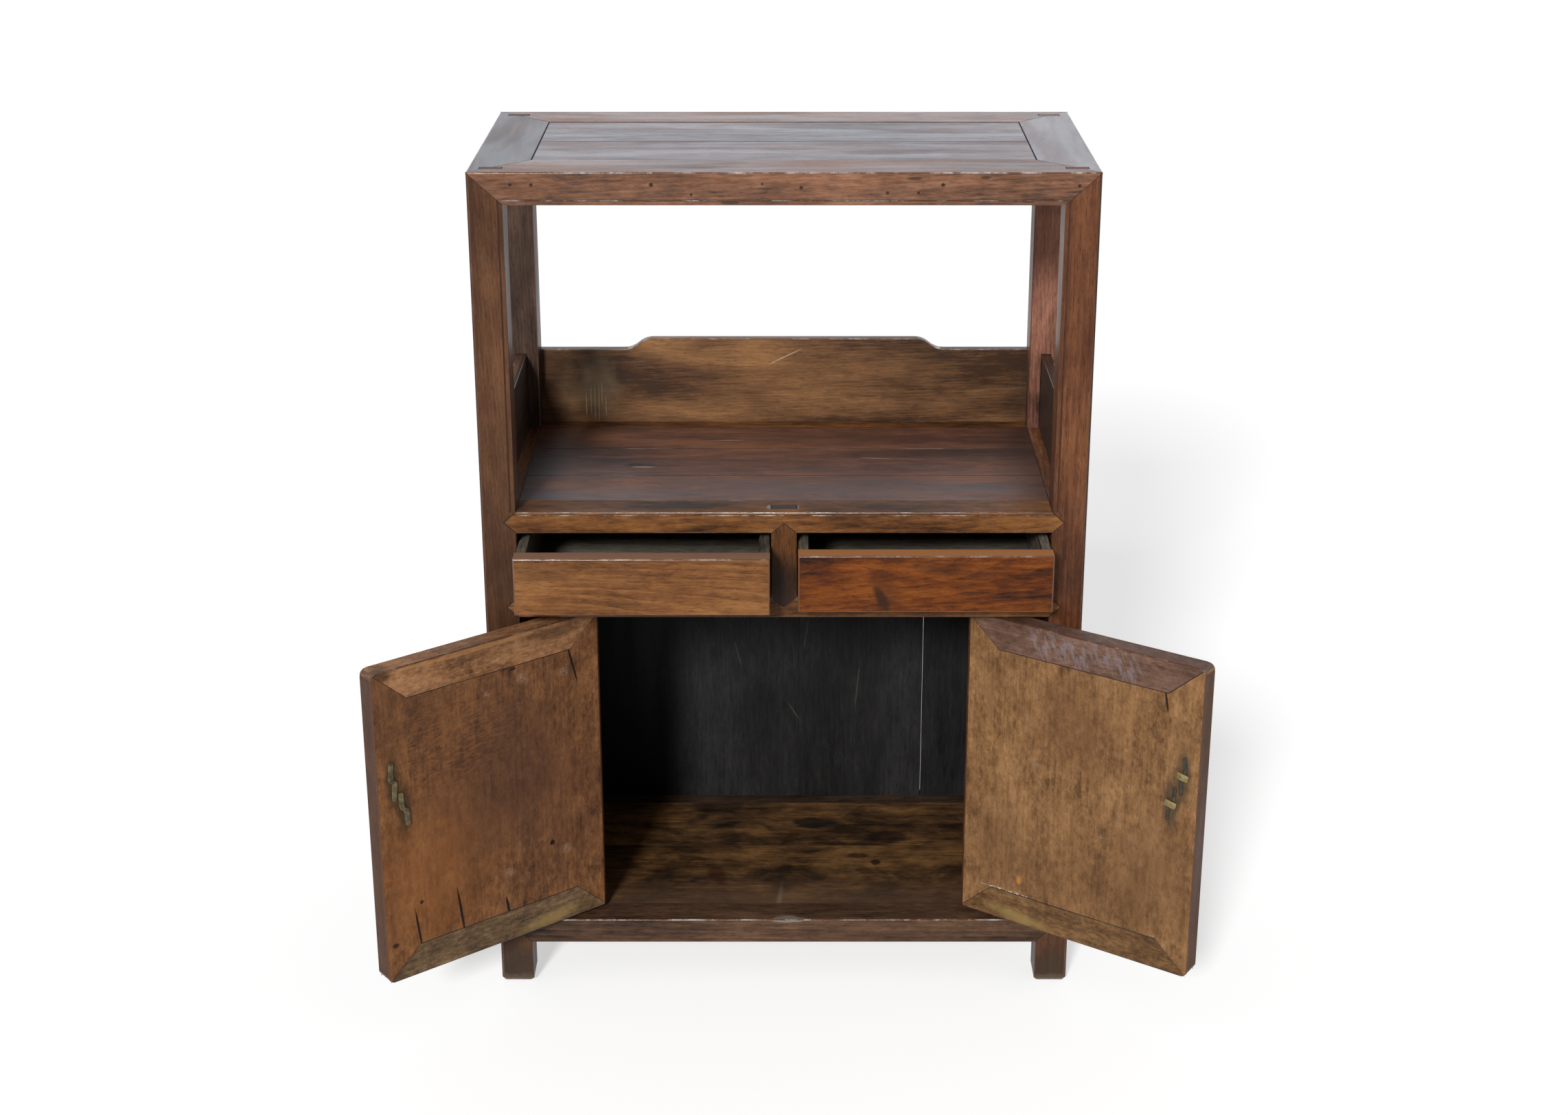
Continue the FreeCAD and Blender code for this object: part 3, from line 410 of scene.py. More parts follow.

# Posts: bleached feet, darker towards the bottom above them; the left front one darkens from the drawers down
posts = {
    "look": dict(pith=(0.2, 0.1, 0), board=0.12, blotch=1.2, mottle=0.5, fibre=0.5, grit=0.45, flecks=0.16,
                 stainShare=0.3),
    "tones": {
        "front_left": ((32, 19, 11), (78, 49, 31), (107, 72, 47)),
        "front_right": ((39, 21, 11), (94, 55, 34), (129, 83, 54)),
        "rear_left": ((28, 20, 15), (68, 51, 43), (96, 73, 59)),
        # the rear right post is toned lighter than the others as painted light, against the shadow the top
        # casts on it
        "rear_right": ((60, 39, 31), (143, 96, 78), (180, 128, 102)),
    },
    "marks": [
        band(0, 50, (58, 50, 40), 0.8, soft=0.5, fray=40),
        band(4, 7, (120, 106, 84), 0.5, soft=0.6, ragged=0.9, fray=120),
        band(120, 160, (46, 34, 26), 0.4, soft=0.6, ragged=0.4, fray=16),
        band(590, 55, (44, 29, 19), 0.22, soft=0.7, ragged=0.4, fray=18),
    ],
    "front_left": [mark((-330, -175, 400), (1000, 50, 170), (40, 29, 21), 0.38, soft=0.5, fray=18)],
}
for place, tones in posts["tones"].items():
    row, side = place.split("_")
    post = {"look": dict(posts["look"], tones=tones), "marks": posts["marks"] + posts.get(place, [])}
    give(f"{row}{side.capitalize()}PostWood", post, "z", arrisFrame, "post_" + place)

# Rails and the drawers' divider, whose tenon shows its dark end grain within a pale chipped rim
lay = onTop(622, 3)
rails = {
    "look": dict(tones=((46, 26, 13), (112, 71, 38), (150, 100, 54)), figure=1.1, blotch=1.4, mottle=0.8),
    "rear": dict(tones=((22, 16, 11), (58, 42, 31), (86, 66, 50)), roughness=(0.46, 0.62)),
    "marks": [
        lay(-16.5, -156, 3.4, 6.6, (150, 146, 140), 0.85),
        lay(0, -149.5, 17, 1.0, (132, 122, 112), 0.7, ragged=0.8),
        lay(16, -156, 1.4, 6, (150, 142, 134), 0.7, ragged=0.7),
    ],
}
divider = {
    "look": dict(tones=((36, 20, 8), (86, 51, 24), (122, 78, 42)), blotch=1.2),
    "marks": [
        # the lower part darkened as painted shade, below the lit top
        mark((0, -175, 530), (50, 50, 34), (34, 22, 15), 0.8, soft=0.7, ragged=0.4, fray=40),
        mark((0, -156, 622), (50, 50, 4), (44, 34, 29), 0.9, ragged=0.3),
    ],
}
give("railWood", {"look": rails["look"]}, "x", arrisFrame, "shelf_rail_rear", "drawer_rail")
give("shelfRailWood", rails, "x", arrisPale, "shelf_rail_front")
give("dividerWood", divider, "z", arrisFrame, "drawer_divider")
give("sideRailWood", {"look": {}}, "y", arrisFrame,
     *[f"{row}_rail_{side}" for row in ("shelf", "bottom") for side in doorPlace])
give("rearRailWood", {"look": rails["rear"]}, "x", arrisDark, "drawer_rear_rail", "bottom_rail_rear")

# The bottom rail, with a pale chip in the middle of its edge
bottomRail = {
    "look": dict(tones=((36, 25, 18), (86, 62, 46), (120, 90, 68)), roughness=(0.42, 0.58)),
    "marks": [mark((5, -175, 86.5), (20, 10, 2.8), (130, 121, 112), 0.85, soft=0.15, ragged=0.3)],
}
give("bottomRailWood", bottomRail, "x", arrisPale, "bottom_rail_front")

# The shelf: red-brown boards, a knot with a pale rim, pale scratches, ends darkened as painted shadow, dust
# along the gallery
lay = onTop(622)
# how the shelf's ends are darkened: a painted shadow of the posts
shelfEndShade = {"deep": 100, "share": 0.6, "soft": 0.8, "ragged": 0.4, "fray": 14}
shelf = {
    "look": dict(tones=((37, 24, 20), (93, 58, 47), (132, 88, 64)), pith=(0, 0.02, 0.70), tilt=3.0,
                 figure=1.3, blotch=1.2, rings=0.12, coat=0.5, coatRoughness=0.36, roughness=(0.34, 0.50),
                 hand=0.5, board=0.0, apart=0.0, specular=0.3),
    "marks": [
        lay(-176, -10, 20, 8.5, (40, 22, 16), 0.8, ragged=0.6),
        lay(-172, -16, 14, 2.2, (158, 140, 122), 0.9, depth=-0.3),
        lay(-180, -8, 9, 3, (14, 8, 6), ragged=0.7, depth=1.5),
        lay(-75, 89, 26, 1.6, (18, 10, 8), depth=1.5),
        lay(-70, 85.5, 20, 1.1, (166, 150, 134), 0.85),
        lay(112, 16.5, 18, 1.3, (158, 142, 128), 0.85, -4),
        lay(152, -108, 30, 14, (112, 74, 40), 0.35, soft=0.6),
        # painted shadow at both ends of the shelf
        lay(-325, 20, 60, 180, (34, 24, 21), **shelfEndShade),
        lay(325, 50, 55, 160, (34, 24, 21), **shelfEndShade),
        lay(-322, 0, 6, 160, (120, 108, 98), 0.5, ragged=0.9, fray=70),
        lay(322, 0, 6, 160, (128, 116, 106), 0.5, ragged=0.9, fray=70),
        lay(0, 157, 330, 6, (110, 98, 86), 0.4, ragged=0.9, fray=70),
    ],
}
give("shelfWood", shelf, "x", arrisFrame, "shelf_boards", seam=seamDusty)

# The gallery: a golden back with ends darkened as painted shade, a pale patch and fine pale streaks painted
# as reflection, a short pale line; its sides are dark within, toned grey there as painted reflection
lay = onFront(158)
gallery = {
    "look": dict(tones=((62, 41, 27), (120, 84, 54), (160, 116, 72)), pith=(0, 0.20, 0.56), tilt=3.5,
                 figure=1.0, blotch=1.5, rings=0.08, mottle=0.4, grit=0.45, flecks=0.2,
                 figureScale=(3, 16, 16), blotchScale=(4, 11, 11), stainShare=0.25, coat=0.2,
                 coatRoughness=0.2, hand=0.9),
    "marks": [
        # a pale patch near the left end, painted as reflection
        lay(-239, 668, 20, 34, (168, 144, 112), 0.5, soft=0.8, ragged=0.7, fray=45),
        lay(-276, 660, 12, 34, (150, 122, 90), 0.35, soft=0.8, ragged=0.7, fray=45),
        lay(0, 709, 24, 0.8, (190, 170, 146), 0.6, -26),
        # both ends darkened as painted shade from the posts
        lay(-300, 660, 30, 90, (46, 33, 25), 0.6, soft=0.7),
        lay(325, 660, 30, 90, (46, 33, 25), 0.6, soft=0.8),
    # fine pale upright streaks, painted as reflection
    ] + [lay(x, z, 0.7, half, (204, 182, 152), 0.45, ragged=0.6, fray=60) for x, z, half in (
        (-253, 646, 14), (-247, 655, 18), (-242, 650, 22), (-237, 648, 24), (-233, 660, 16),
        (-228, 645, 12))],
}
gallerySide = {
    "look": dict(gallery["look"], tones=((38, 24, 17), (84, 56, 40), (118, 83, 60)), coat=0.1),
    # the inner faces toned grey as painted reflection
    "marks": [innerFace(329.2, 660, (50, 45, 43), 0.85)],
}
give("galleryBackWood", gallery, "x", arrisPale, "gallery_back", seam=seamDusty)
give("gallerySideWood", gallerySide, "y", arrisFrame, "gallery_left", "gallery_right", seam=seamDusty)


def drawerTopHighlight(tone):
    # a painted highlight along the upper edge of a drawer's front
    return mark((0, -200, 586.4), (1000, 1000, 1.1), tone, 0.85, soft=0.25, ragged=0.3)


# Drawer fronts: flame figure and a painted highlight along the upper edge on both, the right one redder with
# a dark knot
lay = onFront(-222, 20)
drawerLeft = {
    "look": dict(tones=((58, 33, 16), (118, 75, 41), (148, 101, 58)), pith=(-0.1, -0.190, 0.50), tilt=4.0,
                 ringGap=0.0045, rings=0.24, figure=0.9, blotch=1.3, mottle=0.9, stainShare=0.35),
    "marks": [drawerTopHighlight((146, 111, 90))],
}
drawerRight = {
    "look": dict(tones=((38, 15, 3), (98, 47, 12), (130, 71, 23)), pith=(0.2, -0.195, 0.60), tilt=3.0,
                 ringGap=0.004, rings=0.16, figure=1.3, blotch=1.4, mottle=0.9, grit=0.9, stainShare=0.6,
                 figureScale=(5, 40, 40)),
    "marks": [
        drawerTopHighlight((186, 128, 82)),
        lay(112, 534, 6, 15, (30, 16, 9), 0.85, -25, soft=0.5),
        lay(116, 540, 12, 22, (60, 31, 14), 0.5, -20, ragged=0.6, soft=0.8),
    ],
}
give("drawerFrontLeftWood", drawerLeft, "x", arrisDrawer, "drawer_left_front")
give("drawerFrontRightWood", drawerRight, "x", arrisDrawer, "drawer_right_front")

# Unpolished wood: drawer boxes, and what runs underneath
rawWood = {"look": dict(tones=((58, 52, 44), (112, 104, 92), (150, 140, 126)), coat=0.0, roughness=(0.6, 0.8),
                        stainTone=(52, 47, 41), hand=0.6)}
underWood = {"look": dict(rawWood["look"], tones=((44, 34, 26), (88, 70, 54), (122, 102, 80)))}
give("drawerSideWood", rawWood, "y", arrisDark,
     *[f"drawer_{side}_side_{place}" for side in doorPlace for place in ("inner", "outer")])
give("drawerBackWood", rawWood, "x", arrisDark,
     *[f"drawer_{side}_{place}" for side in doorPlace for place in ("back", "bottom")])
give("underWood", underWood, "y", arrisDark, "top_batten", "shelf_batten", "floor_batten",
     *["drawer_runner_" + place for place in ("left", "centre", "right")])

# The cupboard's floor, stained all over, its front paler with dust and painted light
lay = onTop(87.5)
cupboardFloor = {
    "look": dict(tones=((35, 25, 15), (96, 67, 40), (137, 99, 58)), figure=0.9, blotch=1.6, rings=0.08,
                 mottle=1.0, blotchScale=(9, 13, 13), stainScale=(13, 18, 18), stainEdge=(0.45, 0.70),
                 stainShare=0.8, stainTone=(27, 19, 14), coat=0.12, roughness=(0.40, 0.58)),
    "marks": [
        lay(38, 77, 28, 14, (16, 20, 22), 0.85, ragged=0.6, fray=50),
        lay(134, 39, 30, 16, (24, 17, 13), 0.7, ragged=0.7, fray=50),
        lay(-84, 127, 40, 22, (22, 17, 13), 0.7, ragged=0.7, fray=50),
        # pale front zone: dust, spread wider as painted light where the front of the floor is lit
        lay(0, -150, 340, 60, (104, 80, 64), 0.6, soft=0.8, ragged=0.4),
        lay(-6, -128, 2.8, 30, (150, 138, 126), 0.35, -4, soft=0.8),
        lay(-85, -62, 10, 28, (52, 24, 14), 0.6, 14, soft=0.4, ragged=0.6),
        lay(118, -30, 6, 7, (30, 17, 12), 0.85),
        lay(95, -12, 14, 7, (30, 18, 12), 0.7, ragged=0.7),
    ],
}
give("cupboardFloorWood", cupboardFloor, "x", arrisDark, "floor_boards")

# The blackened back: its left end darkened as painted shadow, faint scratches (x, z, half length, lean)
lay = onFront(158)
blackBack = {
    "look": dict(tones=((14, 13, 13), (31, 30, 30), (46, 45, 45)), stainTone=(15, 15, 15),
                 roughness=(0.50, 0.66), figure=0.6, rings=0.04, blotch=1.0, board=0.1, hand=0.8, flecks=0.2),
    # the near-black left end is a painted shadow of the left door and post
    "marks": [lay(-300, 300, 160, 900, (4, 4, 4), 0.92, deep=100, soft=0.14, ragged=0)]
    + [lay(x, z, 0.9, half, (92, 89, 82), 0.32, lean, soft=0.6, ragged=1.2, fray=60)
       for x, z, half, lean in ((30, 330, 24, 8), (-62, 300, 18, -14), (-90, 395, 16, 40), (98, 250, 26, 5),
                                (12, 215, 16, -32), (60, 405, 14, 65))],
}
give("backBoardWood", blackBack, "z", seamBlack, "back_boards", seam=seamBlack)

# Side panels: brown outside, blackened within
sidePanel = {
    "look": dict(tones=((46, 28, 19), (98, 62, 42), (136, 92, 63))),
    "marks": [innerFace(329.5, 300, (38, 35, 32), 0.92)],
}
give("sidePanelWood", sidePanel, "z", arrisDark, "side_panel_left", "side_panel_right")

# Doors: the left one red-brown with a dark bloom, the right one tan, each with two darker mitred rails;
# specks are x, z, radius; clips and edge are the tones of the grime there
doorLook = dict(coat=0.0, roughness=(0.44, 0.60), rings=0.05, figure=0.5, blotch=1.0, mottle=0.9, grit=1.2,
                gritScale=(110, 190, 190), flecks=0.4, fleckScale=(40, 55, 55), board=0.0,
                blotchScale=(9, 14, 14), mottleScale=(45, 70, 70), stainShare=0.35, hand=0.8)
lay = onFront(0, 20)
footMarks = [lay(225, 10, 34, 7, (154, 128, 76), 0.6, -6, soft=0.7, ragged=0.6)]
split = {"ragged": 0.35, "depth": 2.0}
bloom = {"soft": 0.8, "fray": 20}
leftDoor = {
    "look": dict(doorLook, tones=((58, 35, 20), (118, 78, 48), (154, 106, 66)), stainTone=(72, 46, 31)),
    "marks": [
        lay(150, 225, 85, 115, (76, 49, 36), 0.62, 18, soft=0.7, fray=22),
        lay(235, 175, 60, 100, (84, 52, 37), 0.5, soft=0.7, ragged=0.6, fray=22),
        lay(60, 120, 75, 85, (142, 88, 44), 0.5, ragged=0.4, **bloom),
        lay(45, 345, 70, 60, (84, 55, 38), 0.5, ragged=0.4, **bloom),
        lay(95, 290, 75, 60, (146, 94, 54), 0.4, -8, soft=0.7, broken=(15, 20, 3.4)),
        lay(43, 60, 1.1, 26, (24, 14, 10), lean=-7, **split),
        lay(100.5, 64, 1.4, 29, (20, 12, 9), lean=-7, **split),
        lay(164.5, 48, 1.6, 11, (18, 11, 8), lean=-8, **split),
        lay(266, 340, 1.2, 27, (30, 18, 13), lean=-14, ragged=0.4, depth=1.5),
        lay(230, 111, 3.5, 3.5, (22, 16, 14), ragged=0.4, depth=1.0),
        lay(184, 353, 4.5, 2.5, (44, 22, 16)),
        lay(49, 93, 2.2, 2.2, (42, 34, 30), ragged=0.4, depth=1.0),
        lay(12, 48, 4, 3, (58, 26, 18), ragged=0.4),
    ],
    "specks": [(97, 358, 4), (168, 91, 5), (250, 97, 6), (196, 338, 6), (255, 330, 5), (148, 330, 3)],
    "clips": (58, 44, 28), "edge": (58, 32, 18),
    "top": {
        "look": dict(doorLook, tones=((77, 49, 30), (143, 100, 67), (178, 131, 91)), blotch=0.9, fibre=0.7),
        "marks": [
            lay(9, 388, 6, 5, (170, 112, 58), ragged=0.6, depth=1.5),
            lay(12, 390, 13, 8, (34, 22, 15), 0.75, ragged=0.8, soft=0.6),
            # a painted shadow under the drawer, at the top near the hinge
            lay(250, 384, 30, 8, (52, 34, 24), 0.6, ragged=0.8, soft=0.7),
            lay(130, 391, 90, 3, (176, 128, 84), 0.5, ragged=0.9),
        ],
    },
    "foot": {"look": dict(doorLook, tones=((57, 43, 30), (107, 83, 59), (144, 116, 85))), "marks": footMarks},
}
rightDoor = {
    "look": dict(doorLook, tones=((80, 54, 31), (130, 94, 60), (160, 120, 80)), stainTone=(96, 68, 43),
                 stainShare=0.4),
    "marks": [
        lay(226, 60, 2.6, 5.5, (196, 130, 58), 0.85, ragged=0.3),
        lay(46, 346, 1.1, 14, (38, 24, 16), lean=10, ragged=0.4, depth=1.5),
        lay(50, 140, 45, 60, (100, 70, 46), 0.45, **bloom),
        lay(160, 285, 60, 50, (108, 72, 46), 0.4, ragged=0.6, **bloom),
        lay(255, 105, 35, 60, (102, 72, 46), 0.4, **bloom),
        lay(120, 85, 100, 50, (104, 73, 45), 0.4, **bloom),
        lay(242, 40.8, 32, 1.2, (196, 190, 182), 0.8, ragged=0.4, broken=(6, 20, 4)),
    ],
    "specks": [(120, 150, 3), (208, 220, 3), (47, 41, 3)],
    "clips": (66, 56, 42), "edge": (72, 43, 28),
    "top": {  # smeared
        "look": dict(doorLook, tones=((58, 40, 31), (108, 80, 66), (142, 112, 96)), blotch=0.7, mottle=0.6,
                     grit=0.6, fibre=0.5),
        "marks": [lay(*smear, (148, 138, 146), 0.40, 20, soft=0.7, broken=(6, 20, 24)) for smear in (
            (207, 378, 12, 20), (183, 382, 10, 18), (158, 377, 14, 20), (128, 384, 12, 16),
            (97, 374, 16, 20))],
    },
    "foot": {"look": dict(doorLook, tones=((54, 38, 23), (99, 70, 43), (132, 99, 64))), "marks": footMarks},
}

# Clenched split-pin eyes: a ring outside the door, a shank through it, two flattened legs on the inner face
clips = {
    "ringRadius": 0.006, "wire": 0.0015, "ringOut": 0.0328, "sides": 20, "steps": 44,
    "eyes": [  # x, z in the door's space; each leg's length, sway
        {"at": (0.020, 0.2585), "up": 0.0265, "down": 0.0275, "sway": 0.0016},
        {"at": (0.033, 0.2205), "up": 0.0235, "down": 0.0245, "sway": -0.0012},
    ],
    "offset": 0.0027, "parting": 6, "bend": 2.2,  # how far and how soon the legs part, angle of the sway
    "halfThick": 0.0008, "rootLift": 0.0022, "rootSpan": 0.14, "rootBack": 0.002, "tipLift": 0.0004,
    "neck": 0.72, "neckGrowth": 9, "taper": 0.12,  # shares of the width: at the root, lost to the tip
    "square": 0.55, "blunt": 14, "shankBlunt": 20,  # powers: corners of the section, ends
    "shankSteps": 12, "shankPast": 0.0015,
    "halfWidth": {"left": 0.0039, "right": 0.0025},
    # on the right door only
    "plate": {"halfLength": 0.0078, "halfWidth": 0.0042, "turn": math.radians(14), "lift": 0.0034,
              "bow": 0.0006},
}
for side, piece in (("left", leftDoor), ("right", rightDoor)):
    piece["marks"] += [lay(x, z, 1.25 * r, r, (176, 156, 138), 0.55, 35, soft=0.6, ragged=0.4,
                                broken=(2.6, 20, 0.7)) for x, z, r in piece["specks"]]
    piece["marks"] += [lay(*[1000 * c for c in eye["at"]], 9, 33, piece["clips"], 0.75, soft=0.5)
                       for eye in clips["eyes"]]
    piece["marks"] += [mark((-1, 0, 200), (1.6, 1000, 1000), piece["edge"], 0.8, soft=0.15, ragged=0.1)]
    give(side + "DoorWood", piece, "z", arrisFrame,
         *[f"door_{side}_{part}" for part in ("hinge_stile", "free_stile", "panel", "pivots")], door=side)
    give(side + "DoorTopWood", piece["top"], "x", arrisFrame, f"door_{side}_top_rail", door=side)
    give(side + "DoorFootWood", piece["foot"], "x", arrisDark, f"door_{side}_bottom_rail", door=side)
print("wood finishes:", len(bpy.data.materials))


tarnish = {
    "patchScale": 150, "fineScale": 900, "stops": (0.30, 0.52, 0.75), "relief": (0.6, 0.0004),
    "green": (66, 66, 50), "greenEdge": (0.58, 0.72), "greenShare": 0.4,
    "metallic": 0.45, "roughFrom": (0.3, 0.7), "roughness": (0.62, 0.42),
}


def oldBrass(name, tones):
    # tarnished brass: oxide over yellow metal, green in the hollows
    fin = Finish(name)
    spot = fin.spot()
    patch = fin.cloud(spot, tarnish["patchScale"], 4, 0.6, 0.4)
    fine = fin.cloud(spot, tarnish["fineScale"])
    colour = fin.ramp(patch, list(zip(tarnish["stops"], [tint(*c) for c in tones])))
    green = fin.span(fine, *tarnish["greenEdge"], 0, tarnish["greenShare"])
    colour = fin.blend(green, colour, tint(*tarnish["green"]))
    bump = fin.bump(fin.math("ADD", patch, fine), *tarnish["relief"])
    rough = fin.span(patch, *tarnish["roughFrom"], *tarnish["roughness"])
    return fin.set(Base_Color=colour, Metallic=tarnish["metallic"], Roughness=rough, Normal=bump)


brass = oldBrass("oldBrass", ((62, 54, 38), (100, 88, 62), (134, 118, 82)))
dullBrass = oldBrass("dullBrass", ((40, 36, 30), (68, 61, 50), (98, 88, 70)))
paleBrass = oldBrass("paleBrass", ((104, 88, 54), (148, 128, 82), (184, 164, 114)))
finishOf.update({f"door_{side}_pull": (brass, brass, brass) for side in doorPlace})

dressing = {
    "arris": 0.0013, "seam": 0.0011, "brassArris": 0.0004, "segments": 2,  # widths of the bevels, m
    "plainSeam": 0.45, "drawerArris": 0.55,  # shares of those widths: most joints, drawer fronts
    "convex": math.radians(28), "smooth": math.radians(30),
    "flat": 0.004, "square": 0.985,  # angle between faces that are one; least part of a normal on an axis
    "reach": 0.0015, "under": 0.0006,  # a neighbour is looked for past the edge, below the face
    "fullWidth": 0.006,  # a face narrower than this gets a smaller bevel
    "sole": 0.001, "soleEdge": 0.003,  # heights that tell a foot's underside and the edge round it
    "footRise": 0.0060, "footInset": 0.84,  # worn edge under the feet: height, share of the section left
    "doorRound": 0.0100, "doorHeight": 0.395, "doorSteps": (1.0, 0.62),  # worn free corners
    "boardSeams": {-0.155: 0, 0.020: 0, 0.185: 0.0004},  # where back boards meet, half the gap left
    "boardReach": 0.001, "weld": 1e-6,
    "sharedTone": 0.5, "tones": 7,  # tone of the doors' boards, seed of the others
}


def readAll(items, key, kind, width=1):
    values = np.empty(len(items) * width, kind)
    items.foreach_get(key, values)
    return values


def put(name, data):
    made = bpy.data.objects.new(name, data)
    scene.collection.objects.link(made)
    return made


def weldedArrays(mesh):
    # a solid's loose triangles with their shared points joined
    points = readAll(mesh.vertices, "co", np.float32, 3).reshape(-1, 3)
    corners = readAll(mesh.loops, "vertex_index", np.int32)
    cells = np.round(points / dressing["weld"]).astype(np.int64)
    _, first, back = np.unique(cells, axis=0, return_index=True, return_inverse=True)
    return points[first], back.reshape(-1)[corners].reshape(-1, 3)


welded = {name: weldedArrays(node.data) for name, node in frame["nodes"].items()}
bodyTree = {}
for body in frame["bodies"]:
    points, faces, count = [], [], 0
    for name in sorted(n for n in welded if bodyOf[n] == body):
        points.append(welded[name][0])
        faces.append(welded[name][1] + count)
        count += len(welded[name][0])
    bodyTree[body] = BVHTree.FromPolygons(np.concatenate(points).tolist(), np.concatenate(faces).tolist())


def insideWood(tree, point):
    near, normal, _, _ = tree.find_nearest(point)
    return (near - point).dot(normal) > 0


def edgeKind(edge, tree):
    # 0 free arris, 1 joint line with a flush neighbour, 2 hidden; the middle of three samples
    votes = []
    for share in (0.25, 0.5, 0.75):
        spot = edge.verts[0].co.lerp(edge.verts[1].co, share)
        covered = 0
        for loop in edge.link_loops:
            along = (loop.link_loop_next.vert.co - loop.vert.co).normalized()
            out = along.cross(loop.face.normal).normalized()
            covered += insideWood(tree, spot + out * dressing["reach"] - loop.face.normal * dressing["under"])
        votes.append(covered)
    return sorted(votes)[1]


def refill(mesh):
    # fills each many-sided flat with triangles again, which holds where two bevels' ends cross
    bm = bmesh.new()
    bm.from_mesh(mesh)
    board = bm.faces.layers.float["board"]
    spent = [face for face in bm.faces if face.material_index == 0 and len(face.verts) > 4]
    for face in spent:
        square = face.normal.to_track_quat("Z", "Y").to_matrix()
        local = [square.transposed() @ vert.co for vert in face.verts]
        level = sum(p.z for p in local) / len(local)
        points, _, triangles, origins, _, _ = delaunay_2d_cdt(
            [p.to_2d() for p in local], [], [range(len(local))], 1, dressing["weld"])
        corners = []
        for point, origin in zip(points, origins):
            spot = square @ Vector((*point, level))
            corners.append(face.verts[origin[0]] if origin else bm.verts.new(spot))
        for triangle in triangles:
            verts = [corners[i] for i in triangle]
            if len(set(verts)) == 3 and not bm.faces.get(verts):
                made = bm.faces.new(verts)
                made.material_index = 0
                made[board] = face[board]
    bmesh.ops.delete(bm, geom=spent, context="FACES_ONLY")
    bm.to_mesh(mesh)
    bm.free()


def keepInside(piece, body):
    # applies the bevels, then holds every point within the solid's own box, square to its body
    box = np.array([v.co for v in piece.data.vertices])
    mesh = bpy.data.meshes.new_from_object(piece.evaluated_get(bpy.context.evaluated_depsgraph_get()))
    turn = np.identity(3)
    if body.startswith(("door_", "pull_")):
        turn = np.array(doorSpace(body.split("_")[1]).to_3x3())
    local = readAll(mesh.vertices, "co", np.float32, 3).reshape(-1, 3) @ turn.T
    box = box @ turn.T
    held = np.clip(local, box.min(0), box.max(0)) @ turn
    mesh.vertices.foreach_set("co", held.astype(np.float32).ravel())
    refill(mesh)
    mesh.set_sharp_from_angle(angle=dressing["smooth"])
    kinds = readAll(mesh.polygons, "material_index", np.int32)
    mesh.polygons.foreach_set("use_smooth", kinds > 0)  # only arrises and rounded faces run smooth
    piece.modifiers.clear()
    old, name = piece.data, piece.data.name
    piece.data = mesh
    bpy.data.meshes.remove(old)
    mesh.name = name


def roundCorners(bm, name):
    # the free corners of a door's frame: cut near the corner, then points past the arc are drawn in to it
    space = doorSpace(name.split("_")[1])
    back = space.inverted()
    radius, top = dressing["doorRound"], dressing["doorHeight"]
    for share in dressing["doorSteps"]:
        cuts = [((0, 0, radius * share), (0, 0, 1)), ((0, 0, top - radius * share), (0, 0, 1))]
        if name.endswith("rail"):
            cuts = [((radius * share, 0, 0), (1, 0, 0))]
        for at, way in cuts:
            bmesh.ops.bisect_plane(bm, geom=bm.verts[:] + bm.edges[:] + bm.faces[:], dist=dressing["weld"],
                                   plane_co=back @ Vector(at), plane_no=back.to_3x3() @ Vector(way))
    for vert in bm.verts:
        spot = space @ vert.co
        middle = min(max(spot.z, radius), top - radius)
        off = Vector((spot.x - radius, 0, spot.z - middle))
        if off.x < 0 and off.z and off.length > radius:
            off *= radius / off.length
            vert.co = back @ Vector((radius + off.x, spot.y, middle + off.z))


def wornPoints(name):
    # the solid's points, with the back boards' seams drawn close and the feet worn in at their edge
    points = welded[name][0].copy()
    if name == "back_boards":
        for seamAt, half in dressing["boardSeams"].items():
            aside = points[:, 0] - seamAt
            close = np.abs(aside) < dressing["boardReach"]
            points[close, 0] = seamAt + np.sign(aside[close]) * half
    if name.startswith("post_"):
        sole = points[:, 2] < dressing["sole"]
        middle = (points[:, :2].min(0) + points[:, :2].max(0)) / 2
        points[sole, :2] = middle + (points[sole, :2] - middle) * dressing["footInset"]
        points[~sole & (points[:, 2] < dressing["soleEdge"]), 2] = dressing["footRise"]
    return points


def weighEdges(bm, name, onePiece):
    # how wide each edge's bevel is, as a share: free arrises, and joint lines that show
    arris = bm.edges.layers.float["arris"]
    seam = bm.edges.layers.float["seam"]
    arrisShare = dressing["drawerArris"] if name.startswith("drawer_") and name.endswith("_front") else 1
    seamShare = 1 if name.startswith(("door_", "top_boards")) else dressing["plainSeam"]
    thickness = {face: 2 * face.calc_area() / face.calc_perimeter() for face in bm.faces}
    for edge in bm.edges:
        if len(edge.link_faces) != 2 or edge.calc_face_angle_signed() < dressing["convex"]:
            continue
        kind = edgeKind(edge, bodyTree[bodyOf[name]])
        slim = min(thickness[face] for face in edge.link_faces) / dressing["fullWidth"]
        if kind == 0:
            edge[arris] = min(1.0, slim) * arrisShare
        elif kind == 1 and not onePiece:
            edge[seam] = min(1.0, 2 * slim) * seamShare


def toneBoards(bm, onePiece, draw):
    # each separate board has its own tone; a door's panel and stiles share one
    board = bm.faces.layers.float["board"]
    toned = set()
    for first in bm.faces:
        if first in toned:
            continue
        tone = draw.random()
        waiting = [first]
        while waiting:
            face = waiting.pop()
            if face in toned:
                continue
            toned.add(face)
            face[board] = dressing["sharedTone"] if onePiece else tone
            waiting += [other for edge in face.edges for other in edge.link_faces if other not in toned]


def rubSlants(bm, body):
    # faces that aren't square to the body take the arris's finish
    turn = doorPlace[body.split("_")[1]]["turn"] if body.startswith("door_") else 0
    back = Matrix.Rotation(math.radians(-turn), 3, "Z")
    for face in bm.faces:
        if max(abs(c) for c in back @ face.normal) < dressing["square"]:
            face.material_index = 1


